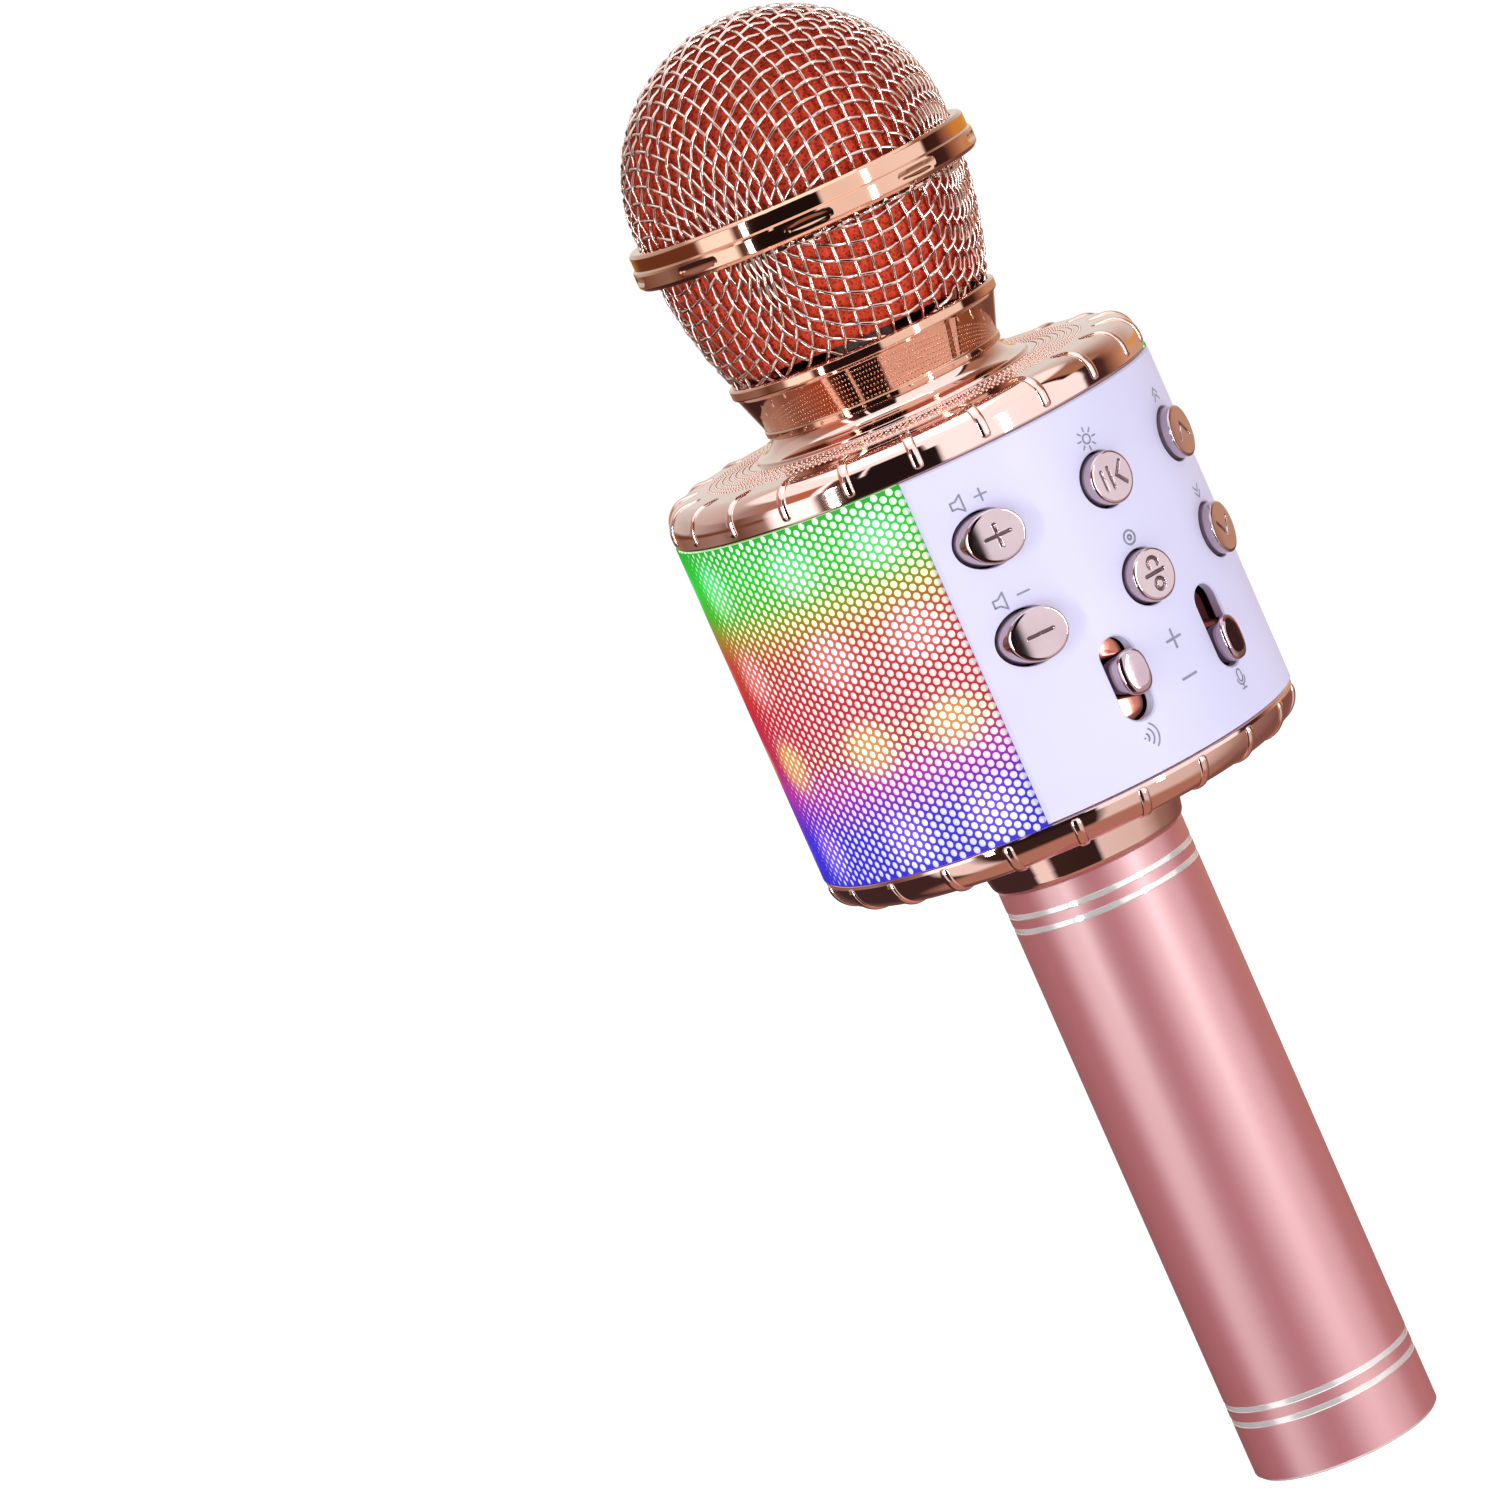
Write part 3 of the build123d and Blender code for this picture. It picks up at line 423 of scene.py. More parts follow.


# Colours of the painted light from the lamps behind a window: on the sheet's bars and through its holes, away from
# the lamps and in the pools close to them.
BAR_GLOW_COLOURS = [
    (0.00, (0.020, 0.010, 0.62)), (0.13, (0.030, 0.010, 0.66)), (0.20, (0.17, 0.012, 0.52)),
    (0.27, (0.42, 0.016, 0.34)), (0.36, (0.50, 0.008, 0.09)), (0.52, (0.56, 0.005, 0.018)),
    (0.66, (0.52, 0.040, 0.010)), (0.73, (0.38, 0.19, 0.006)), (0.80, (0.060, 0.44, 0.008)),
    (0.90, (0.006, 0.62, 0.020)), (1.00, (0.004, 0.46, 0.016)),
]
HOLE_GLOW_COLOURS = [
    (0.00, (0.50, 0.50, 1.0)), (0.14, (0.58, 0.55, 1.0)), (0.22, (0.80, 0.50, 0.95)), (0.29, (1.0, 0.62, 0.60)),
    (0.357, (1.0, 0.80, 0.36)), (0.44, (1.0, 0.55, 0.45)), (0.58, (1.0, 0.60, 0.60)), (0.68, (1.0, 0.62, 0.42)),
    (0.76, (0.95, 0.90, 0.40)), (0.84, (0.60, 1.0, 0.50)), (1.00, (0.62, 1.0, 0.62)),
]
SPOT_GLOW_COLOURS = [
    (0.00, (0.90, 0.92, 1.0)), (0.20, (0.92, 0.85, 1.0)), (0.29, (1.0, 0.92, 0.62)), (0.40, (1.0, 0.96, 0.66)),
    (0.50, (1.0, 0.86, 0.86)), (0.68, (1.0, 0.90, 0.88)), (0.80, (0.88, 1.0, 0.80)), (1.00, (0.80, 1.0, 0.92)),
]
GLOW_COLOURS = [
    (0.00, (0.16, 0.14, 1.0)), (0.20, (0.45, 0.10, 1.0)), (0.29, (1.0, 0.42, 0.10)), (0.40, (1.0, 0.60, 0.12)),
    (0.50, (1.0, 0.22, 0.22)), (0.68, (1.0, 0.25, 0.20)), (0.80, (0.25, 1.0, 0.25)), (1.00, (0.08, 0.95, 0.40)),
]


def paint_lamp_glow(paint, away, close, weight, strength, edge):
    """Painted light from the lamps behind a window: emission that turns from one ramp of colours to another in a
    painted pool of light near each lamp, dimmed to edge beside the panels as painted shade.
    """
    height, near = window_light(paint)
    blend = paint.remap(near, 0, 1, high=weight)
    side = paint.math("ABSOLUTE", paint.node("SeparateXYZ", "Y", in_Vector=paint.place()))
    border = DRUM_R * cos(PANEL_HALF)
    fade = paint.remap(side, (border - 1.2) * MM, (border - 0.6) * MM, strength, strength * edge)
    paint.set(Emission_Color=paint.mix(blend, paint.ramp(height, away), paint.ramp(height, close)),
              Emission_Strength=fade)


def window_metal():
    """Painted perforated sheet whose emission is painted light from the lamps behind it, with painted pools of
    light near each lamp.
    """
    paint = Paint("window_metal", Roughness=0.55, Specular_IOR_Level=0.15)
    paint_lamp_glow(paint, BAR_GLOW_COLOURS, GLOW_COLOURS, 0.6, 0.95, 0.9)
    grain = paint.noise(900)
    paint.colour(grain, (0.016, 0.014, 0.018), (0.03, 0.026, 0.034))
    paint.bump(grain, 0.1, 0.00003)
    return paint.material


def diffuser_light():
    """The milky sheet behind the holes, whose emission is painted light standing in for the lamps behind it: near
    white, tinted by the nearest lamp, with a painted pool of light near each.
    """
    paint = Paint("diffuser", Roughness=0.6)
    paint_lamp_glow(paint, HOLE_GLOW_COLOURS, SPOT_GLOW_COLOURS, 1.0, 1.0, 0.04)
    paint.colour(paint.noise(1400, 2.0), (0.30, 0.30, 0.31), (0.36, 0.36, 0.37))
    return paint.material


# ---- head: woven wire, foam, ring and collar

WIRE_PITCH = 2.62
WIRE_R = 0.30
WEAVE = 0.28
# A quadratic spline through alternate control points swings half as far as they do.
WEAVE_CONTROL = 2 * WEAVE
# The camera's azimuth in degrees; the weave and the ring's dents are turned from it.
CAMERA_SIDE = -90 - 38
WEAVE_TURN = radians(CAMERA_SIDE + 21)


def nearest_on_profile(points, profile):
    """Moves points to the closest place on a surface of revolution given by a (radius, height) profile."""
    radial = np.hypot(points[:, 0], points[:, 1])
    flat = np.stack([radial, points[:, 2]], axis=1)
    start, run = profile[:-1], np.diff(profile, axis=0)
    along = ((flat[:, None] - start) * run).sum(-1) / (run ** 2).sum(-1)
    spot = start + np.clip(along, 0, 1)[..., None] * run
    best = ((flat[:, None] - spot) ** 2).sum(-1).argmin(1)
    found = spot[np.arange(len(points)), best]
    scale = found[:, 0] / np.maximum(radial, 1e-9)
    tangent = run[best] / np.linalg.norm(run[best], axis=1, keepdims=True)
    unit = points[:, :2] / np.maximum(radial, 1e-9)[:, None]
    normals = np.column_stack([unit * -tangent[:, 1:], tangent[:, 0]])
    return np.column_stack([points[:, :2] * scale[:, None], found[:, 1]]), normals


def woven_quadrant(profile, count):
    """A net of equal cells laid over one quarter of the surface, as a square weave drapes over it."""
    length = np.concatenate([[0], np.cumsum(np.linalg.norm(np.diff(profile, axis=0), axis=1))])
    marks = np.arange(count) * WIRE_PITCH
    spine = np.column_stack([np.interp(marks, length, profile[:, 0]), np.interp(marks, length, profile[:, 1])])
    net = np.full((count, count, 3), np.nan)
    net[:, 0] = np.column_stack([spine[:, 0], np.zeros(count), spine[:, 1]])
    net[0, :] = np.column_stack([np.zeros(count), spine[:, 0], spine[:, 1]])
    for level in range(2, 2 * count - 1):
        i = np.arange(max(1, level - count + 1), min(level, count))
        j = level - i
        a, b = net[i - 1, j], net[i, j - 1]
        spot = a + b - net[i - 1, j - 1]
        for _ in range(40):
            for anchor in (a, b):
                gap = spot - anchor
                spot = anchor + gap * (WIRE_PITCH / np.linalg.norm(gap, axis=1, keepdims=True))
            spot, _unused = nearest_on_profile(spot, profile)
        net[i, j] = spot
    return net


def wire_cloth(name, profile, count, low, high, node):
    """Two families of round wires woven over and under each other, kept between two heights."""
    quadrant = woven_quadrant(np.array(profile, float), count)
    size = 2 * count - 1
    net = np.empty((size, size, 3))
    index = np.arange(size) - (count - 1)
    sign = np.where(index < 0, -1, 1)
    net[:] = quadrant[np.abs(index)][:, np.abs(index)]
    net[..., 0] *= sign[:, None]
    net[..., 1] *= sign[None, :]
    normals = nearest_on_profile(net.reshape(-1, 3), np.array(profile, float))[1].reshape(net.shape)
    over = np.where((index[:, None] + index[None, :]) % 2 == 0, 1.0, -1.0)[..., None]
    curve = bpy.data.curves.new(name, "CURVE")
    curve.dimensions = "3D"
    curve.bevel_depth = WIRE_R * MM
    curve.bevel_resolution = 2
    curve.resolution_u = 3
    curve.materials.append(WIRE)
    for family, lift in ((net, over), (net.transpose(1, 0, 2), -over.transpose(1, 0, 2))):
        bulge = (normals if family is net else normals.transpose(1, 0, 2)) * lift * WEAVE_CONTROL
        raised = turned(family + bulge, WEAVE_TURN)
        for line in raised:
            inside = (line[:, 2] > low) & (line[:, 2] < high)
            edges = np.flatnonzero(np.diff(np.concatenate([[0], inside.astype(int), [0]])))
            for start, end in zip(edges[::2], edges[1::2]):
                if end - start < 2:
                    continue
                spline = curve.splines.new("NURBS")
                spline.points.add(end - start - 1)
                for point, place in zip(spline.points, line[start:end]):
                    point.co = (*(place * MM), 1)
                spline.order_u = 3
                spline.use_endpoint_u = True
    return settle(add_object(name, curve), node, slot="mesh")


MESH_SKIN = WIRE_R + WEAVE


def dome_profile():
    radius = DOME_R - MESH_SKIN
    arc = [(radius * sin(t), DOME_CENTRE + radius * cos(t)) for t in np.linspace(0, pi / 2, 60)]
    return arc + [(radius, DOME_CENTRE - step) for step in (2, 4, 7, 12)]


def ball_side(low, steps):
    """The ball's lower half, from its floor's rim at height low out and up to the ring."""
    return bend((21.5, low), (25.3, RING_LOW - 8), (25.6, RING_LOW), steps)


def basket_profile():
    """From the middle of the hidden floor out and up the ball's lower half, inset by the wires."""
    low = COLLAR_HIGH
    points = [(0, low - 2.5), (14, low - 2.5)] + bend((14, low - 2.5), (20.4, low - 2.4), (21.5, low), 12)
    points += ball_side(low, 30)
    points += [(25.6, RING_LOW + 3), (25.6, RING_LOW + 6)]
    return [(max(r - MESH_SKIN, 0), z) for r, z in points]


def build_foam():
    """The foam bag inside the wire, with a cell-sized relief on its outside."""
    rng = np.random.default_rng(4)
    inset = 1.25
    low = COLLAR_HIGH + 0.7
    side = [(r - inset, z) for r, z in ball_side(low, 40)]
    top = DOME_R - inset - 0.3
    dome = arc(0, DOME_CENTRE, top, 0, 90, 70)[:-1]
    shoulder = side[-1][0]
    rise = [(shoulder + (top - shoulder) * t, RING_LOW + (DOME_CENTRE - RING_LOW) * t) for t in (0.25, 0.5, 0.75)]
    count = 220
    verts, faces = lathe([(3, low)] + side + rise + dome, count)
    centre = np.array([0, 0, DOME_CENTRE - 4])
    out = verts - centre
    out /= np.linalg.norm(out, axis=1, keepdims=True)
    verts = verts + out * rng.uniform(-0.16, 0.10, len(verts))[:, None]
    tip = len(verts)
    verts = np.vstack([verts, [[0, 0, DOME_CENTRE + top]]])
    faces += fan_faces(tip - count, count, tip)
    foam = piece("foam_bag", verts, faces, foam_finish(), "foam_liner", slot="foam")


def build_ring():
    """The band round the ball: two bands with a bead between, and almond dents on the lower one."""
    middle = (RING_LOW + RING_HIGH) / 2
    low, high = RING_LOW, RING_HIGH
    inner = RING_R - 2.4
    profile = rounded([
        (inner, high - 0.4), (inner + 0.3, high), (RING_R - 0.9, high), (RING_R - 0.45, high - 0.5),
        (RING_R - 0.45, middle + 0.35), (RING_R - 0.1, middle + 0.1), (RING_R, middle - 0.3),
        (RING_R - 0.05, low + 0.6), (RING_R - 0.6, low), (inner + 0.3, low), (inner, low + 0.4),
    ], {1: 0.2, 2: 0.4, 3: 0.3, 4: 0.1, 5: 0.12, 6: 0.25, 7: 0.3, 8: 0.4, 9: 0.2}, 5)
    fine = []
    for a, b in zip(profile, profile[1:]):
        pieces = max(1, round(math.dist(a, b) / 0.3))
        fine += [tuple(np.array(a) + (np.array(b) - np.array(a)) * k / pieces) for k in range(pieces)]
    fine.append(profile[-1])
    segments = 900
    verts, faces = lathe(fine, segments, closed=True)
    faces = [face[::-1] for face in faces]
    azimuth = np.arctan2(verts[:, 1], verts[:, 0])
    radial = np.hypot(verts[:, 0], verts[:, 1])
    pitch = 2 * pi / 9
    offset = (azimuth - radians(CAMERA_SIDE - 1) + pitch / 2) % pitch - pitch / 2
    along = offset * RING_R / 4.0
    across = (verts[:, 2] - (low + 1.75)) / 0.62
    inside = np.clip(1 - along ** 2 - across ** 2, 0, 1) * (radial > RING_R - 0.5)
    shrink = 1 - 0.45 * np.sqrt(inside) / RING_R
    verts[:, :2] *= shrink[:, None]
    piece("grille_band", verts, faces, SHADED_HEAD_PLATE, "grille_ring", slot="rose_plating")


def build_collar():
    low, high = COLLAR_LOW, COLLAR_HIGH
    profile = rounded([
        (17.5, low), (19.5, low), (19.6, low + 1.0), (19.35, low + 1.25), (21.45, high - 2.2), (22.05, high - 1.7),
        (22.1, high - 0.35), (21.7, high), (20.2, high), (19.8, high - 2.5),
    ], {1: 0.2, 2: 0.2, 3: 0.15, 4: 0.35, 5: 0.35, 6: 0.3, 7: 0.2, 8: 0.3}, 5)
    verts, faces = lathe(profile, 360)
    azimuth = np.degrees(np.arctan2(verts[:, 1], verts[:, 0]))
    notch = np.exp(-((azimuth + 90) / 1.3) ** 2) * (verts[:, 2] > low + 3.4) * (verts[:, 2] < high - 2.0)
    radial = np.hypot(verts[:, 0], verts[:, 1])
    verts[:, :2] *= (1 - 0.35 * notch / radial)[:, None]
    piece("collar_shell", verts, faces, SHADED_HEAD_PLATE, "head_collar", slot="rose_plating")


# ---- drum caps

CAP_SEGMENTS = 384
RIB_COUNT = 22
RIB_PITCH = 2 * pi / RIB_COUNT
RIB_START = radians(2.9 - 90) + RIB_PITCH / 2


def rib_bead(profile, azimuth, width=0.85, height=0.42):
    """A rounded bead laid over a cap's corner along a (radius, height) path, tapering at both ends."""
    path = np.array(profile, float)
    run = np.gradient(path, axis=0)
    run /= np.linalg.norm(run, axis=1, keepdims=True)
    out = np.column_stack([run[:, 1], -run[:, 0]])
    if (out @ np.array([1, 0])).sum() < 0:
        out = -out
    length = np.concatenate([[0], np.cumsum(np.linalg.norm(np.diff(path, axis=0), axis=1))])
    ends = np.minimum(length, length[-1] - length) / 0.75
    taper = np.sqrt(np.clip(1 - (1 - np.clip(ends, 0, 1)) ** 2, 0, 1))
    across = np.sin(np.linspace(-pi / 2, pi / 2, 11))
    verts = []
    for (radius, z), (nr, nz), fade in zip(path, out, taper):
        for m in across:
            lift = height * fade * sqrt(max(0, 1 - m * m)) - 0.05
            side = width * m * (0.35 + 0.65 * fade)
            r = radius + nr * lift
            verts.append((r, side, z + nz * lift))
    return turned(np.array(verts), azimuth), grid_faces(len(path), len(across))


def add_beads(verts, faces, path):
    verts, faces = [verts], list(faces)
    base = len(verts[0])
    for number in range(RIB_COUNT):
        more, quads = rib_bead(path, RIB_START + number * RIB_PITCH)
        verts.append(more)
        faces += [tuple(base + v for v in quad) for quad in quads]
        base += len(more)
    return np.vstack(verts), faces


def corner_path(low, edge, radius, reach_in):
    """The line over a cap's rounded corner, from its side at low to its face at radius reach_in."""
    out = 1 if edge > low else -1
    centre = (CAP_R - radius, edge - out * radius)
    side = [(CAP_R, z) for z in np.linspace(low, centre[1], 8)[:-1]]
    corner = arc(*centre, radius, 0, out * 90, 16)
    return side + corner + [(r, edge) for r in np.linspace(centre[0], reach_in, 5)[1:]]


def cap_outside(start, edge, corner):
    """A cap's profile from the drum's end at start, along its side and round its corner to its face."""
    out = 1 if edge > start else -1
    lip = [(CAP_R - inset, start + out * rise) for inset, rise in ((1.4, 0.02), (0.2, 0.02), (0, 0.25))]
    return lip + corner_path(start + out * 0.5, edge, corner, CAP_R - corner - 0.01)


def build_top_cap():
    edge = TOP_CAP_HIGH
    crown = edge + 0.7
    corner = 3.8
    head = 19.0
    face = [(CAP_R - corner - 0.3, edge + 0.02), (30, edge + 0.35), (23.4, crown - 0.02)]
    lip = rounded([(23.4, crown - 0.02), (22.7, crown), (22.5, crown + 0.55), (21.9, crown + 0.62)],
                  {1: 0.2, 2: 0.25}, 4)
    cove = bend((21.9, crown + 0.62), (19.5, crown + 1.0), (head, COLLAR_LOW + 0.1), 14)
    inner = lip[1:] + cove + [(15, COLLAR_LOW + 0.1)]
    verts, faces = lathe(cap_outside(DRUM_HIGH, edge, corner) + face + inner, CAP_SEGMENTS)
    verts, faces = add_beads(verts, faces, corner_path(DRUM_HIGH + 0.8, edge, corner, 32.4))
    piece("top_cap_shell", verts, faces, PLATE, "top_cap", slot="rose_plating")
    build_dots(crown, edge)


def build_dots(crown, edge):
    """Rows of tiny domed dots on the top cap, in rings about the neck."""
    dot_r, dot_high, spacing = 0.28, 0.20, 1.05
    verts, faces = [], []
    for ring in np.arange(24.2, 31.8, 1.15):
        count = round(2 * pi * ring / spacing)
        z = crown + (edge - crown) * (ring - 22.5) / (CAP_R - 3.8 - 22.5)
        for number in range(count):
            spot = 2 * pi * (number + 0.5 * (round(ring * 10) % 2)) / count
            base = len(verts)
            x, y = ring * cos(spot), ring * sin(spot)
            for fraction, rise in ((1.0, -0.03), (0.75, 0.65), (0.4, 0.93)):
                verts += [(a, b, z + dot_high * rise) for a, b in circle_loop(x, y, dot_r * fraction, 8)]
            verts.append((x, y, z + dot_high))
            faces += band_faces(base, 8, 2) + fan_faces(base + 16, 8, base + 24)
    piece("top_cap_dots", verts, faces, PLATE, slot="rose_plating")


def build_bottom_cap():
    edge = NECK_HIGH
    corner = 4.5
    face = [(CAP_R - corner - 0.3, edge), (30, edge), (24, edge), (16, edge)]
    verts, faces = lathe(cap_outside(DRUM_LOW, edge, corner) + face, CAP_SEGMENTS)
    faces = [quad[::-1] for quad in faces]
    verts, faces = add_beads(verts, faces, corner_path(DRUM_LOW - 0.55, edge, corner, 33.6))
    piece("bottom_cap_shell", verts, faces, PLATE, "bottom_cap", slot="rose_plating")


# ---- panels, windows

def slot_loop(x, z, width, height, grow=0.0):
    """An upright slot with round ends, anticlockwise."""
    radius, half = width / 2 + grow, height / 2 - width / 2
    return arc(x, z + half, radius, 0, 180, 24) + arc(x, z - half, radius, 180, 360, 24)


def panel_point(x, z, radius, facing):
    """Places a point seen square-on at (x, z) on the drum's curve; facing is -1 in front, 1 behind."""
    return (-facing * x, facing * sqrt(radius ** 2 - x ** 2), z)


def border_loop(half_x, low, high, count=40):
    xs = half_x * np.sin(np.linspace(-1, 1, count) * PANEL_HALF) / sin(PANEL_HALF)
    rows = np.linspace(low, high, 20)
    loop = [(x, low) for x in xs[:-1]] + [(half_x, z) for z in rows[:-1]]
    loop += [(x, high) for x in xs[:0:-1]] + [(-half_x, z) for z in rows[:0:-1]]
    return loop


def build_panel(name, node, facing, holes):
    """A curved panel with chamfered edges. holes are functions of how far the hole's edge is grown."""
    chamfer, wall, margin = 0.28, 1.9, 0.3
    low, high = DRUM_LOW + 0.3, DRUM_HIGH
    half_x = PANEL_R * sin(PANEL_HALF)

    def border(trim):
        return border_loop(half_x - trim, low + trim, high - trim)

    loops = [edge(chamfer) for edge in (border, *holes)]
    flat = [Vector(p) for loop in loops for p in loop]
    edges, start = [], 0
    for loop in loops:
        edges += [(start + k, start + (k + 1) % len(loop)) for k in range(len(loop))]
        start += len(loop)
    for angle in np.linspace(-PANEL_HALF, PANEL_HALF, 64):
        for z in np.linspace(low, high, 42):
            spot = Vector((PANEL_R * sin(angle), z))
            inside = abs(spot.x) < half_x - chamfer - margin
            inside = inside and low + chamfer + margin < z < high - chamfer - margin
            if inside and not any(near_loop(spot, loop, 0.5) for loop in loops[1:]):
                flat.append(spot)
    points, _edges, triangles, _a, _b, _c = delaunay_2d_cdt(flat, edges, [], 1, 1e-5)
    verts = [panel_point(p.x, p.y, PANEL_R, facing) for p in points]
    faces = []
    for tri in triangles:
        middle = sum((points[k] for k in tri), Vector((0, 0))) / 3
        if not any(in_loop(middle, loop) for loop in loops[1:]):
            faces.append(tuple(tri))
    for number, edge in enumerate((border, *holes)):
        quads = band_faces(len(verts), len(loops[number]), 2)
        faces += quads if number else [quad[::-1] for quad in quads]
        for trim, depth in ((chamfer, 0), (0, chamfer), (0, wall)):
            verts += [panel_point(x, z, PANEL_R - depth, facing) for x, z in edge(trim)]
    piece(name, verts, faces, PANEL, node, slot="panel_plastic").data.set_sharp_from_angle(angle=radians(25))


def in_loop(spot, loop):
    inside = False
    for (x0, z0), (x1, z1) in zip(loop, loop[1:] + loop[:1]):
        if (z0 > spot.y) != (z1 > spot.y) and spot.x < (x1 - x0) * (spot.y - z0) / (z1 - z0) + x0:
            inside = not inside
    return inside


def near_loop(spot, loop, margin):
    xs = [p[0] for p in loop]
    zs = [p[1] for p in loop]
    if not (min(xs) - margin < spot.x < max(xs) + margin and min(zs) - margin < spot.y < max(zs) + margin):
        return False
    return in_loop(spot, loop) or min(math.dist(spot, p) for p in loop) < margin


HOLE_PITCH = 1.45
HOLE_R = 0.585


def build_window(side):
    """The perforated sheet over one side window: a honeycomb of real round holes."""
    name = "right" if side > 0 else "left"
    half_width = (pi / 2 - PANEL_HALF) * DRUM_R
    step = HOLE_PITCH * sqrt(3) / 2
    corner = HOLE_PITCH / sqrt(3)
    angles = np.arange(12) * pi / 6
    hexagon = np.where(np.arange(12) % 2 == 0, corner, HOLE_PITCH / 2)
    edge_points = np.column_stack([hexagon * np.cos(angles), hexagon * np.sin(angles)])
    hole_points = HOLE_R * np.column_stack([np.cos(angles), np.sin(angles)])
    flat, faces = [], []
    columns = math.ceil(half_width / step) + 1
    rows = math.ceil((DRUM_HIGH - DRUM_LOW) / HOLE_PITCH) + 2
    middle = (DRUM_LOW + DRUM_HIGH) / 2
    for column in range(-columns, columns + 1):
        for row in range(-rows // 2, rows // 2 + 1):
            s = column * step
            z = middle + (row + 0.5 * (column % 2)) * HOLE_PITCH
            if abs(s) > half_width + corner or not DRUM_LOW - corner < z < DRUM_HIGH + corner:
                continue
            base = len(flat)
            flat += [(s + a, z + b, 0.0) for a, b in edge_points]
            holed = abs(s) < half_width - 0.3 and DRUM_LOW + 0.2 < z < DRUM_HIGH - 0.2
            if not holed:
                faces.append(tuple(base + k for k in range(12)))
                continue
            for depth in (0.0, 0.22):
                flat += [(s + a, z + b, depth) for a, b in hole_points]
            faces += band_faces(base, 12, 2)
    flat = np.array(flat)
    flat[:, 0] = np.clip(flat[:, 0], -half_width, half_width)
    flat[:, 1] = np.clip(flat[:, 1], DRUM_LOW, DRUM_HIGH)
    flat, faces = merged(flat, faces)
    azimuth = flat[:, 0] / DRUM_R + (0 if side > 0 else pi)
    radius = DRUM_R - 0.12 - flat[:, 2]
    verts = np.column_stack([radius * np.cos(azimuth), radius * np.sin(azimuth), flat[:, 1]])
    made = piece(name + "_window", verts, faces, WINDOW_METAL, name + "_grille", slot="window_metal")
    made.data.set_sharp_from_angle(angle=radians(40))
    build_diffuser(side, name)


def build_diffuser(side, name):
    """The milky sheet right behind the holes."""
    half = pi / 2 - PANEL_HALF
    radius = DRUM_R - 0.42
    azimuths = np.linspace(-half, half, 60) + (0 if side > 0 else pi)
    heights = np.linspace(DRUM_LOW, DRUM_HIGH, 14)
    verts = [(radius * cos(a), radius * sin(a), z) for z in heights for a in azimuths]
    piece(name + "_light_sheet", verts, grid_faces(len(heights), len(azimuths)), DIFFUSER, name + "_diffuser",
          slot="diffuser")


# ---- keys and sliders

KEY_COLUMN = 20.4
ROWS = (158.5, 142.5)
KEY_R = 4.1
KEY_HOLE_R = 4.40
FACE_R = PANEL_R + 2.3
KEY_BACK_R = 36.6
# The sliders' slots: how far to either side they stand, and their middle's height, width and height.
SLIDER_COLUMN = 10
SLOT = (130.3, 5.4, 13.4)


def stroke_gap(u, v, points, width):
    """Distance outside a stroke of that width along a polyline, for arrays of points."""
    gap = np.full(u.shape, 1e9)
    for (x0, y0), (x1, y1) in zip(points, points[1:]):
        dx, dy = x1 - x0, y1 - y0
        t = np.clip(((u - x0) * dx + (v - y0) * dy) / max(dx * dx + dy * dy, 1e-12), 0, 1)
        gap = np.minimum(gap, np.hypot(u - x0 - t * dx, v - y0 - t * dy))
    return gap - width / 2


# Strokes of each key's sign, in millimetres about its middle, seen square-on.
KEY_SIGNS = {
    "volume_up_key": [[(-1.7, 0), (1.7, 0)], [(0, -1.7), (0, 1.7)]],
    "volume_down_key": [[(-1.7, 0), (1.7, 0)]],
    "light_key": [[(-1.9, -1.4), (-1.9, 1.4)], [(-0.5, -1.6), (-0.5, 1.6)], [(2.2, 1.7), (0.7, 0), (2.2, -1.7)]],
    "record_key": [arc(0.2, 1.6, 0.95, -25, 205), [(-1.8, 0.2), (1.8, 0.2)], arc(0.1, -1.6, 0.85, 0, 360)],
    "previous_key": [[(-1.9, -1.1), (0, 1.2), (1.9, -1.1)]],
    "next_key": [[(-1.9, 1.1), (0, -1.2), (1.9, 1.1)]],
}
KEY_PLACES = {
    "volume_up_key": (-KEY_COLUMN, ROWS[0]), "volume_down_key": (-KEY_COLUMN, ROWS[1]),
    "light_key": (0, ROWS[0]), "record_key": (0, ROWS[1]),
    "previous_key": (KEY_COLUMN, ROWS[0]), "next_key": (KEY_COLUMN, ROWS[1]),
}


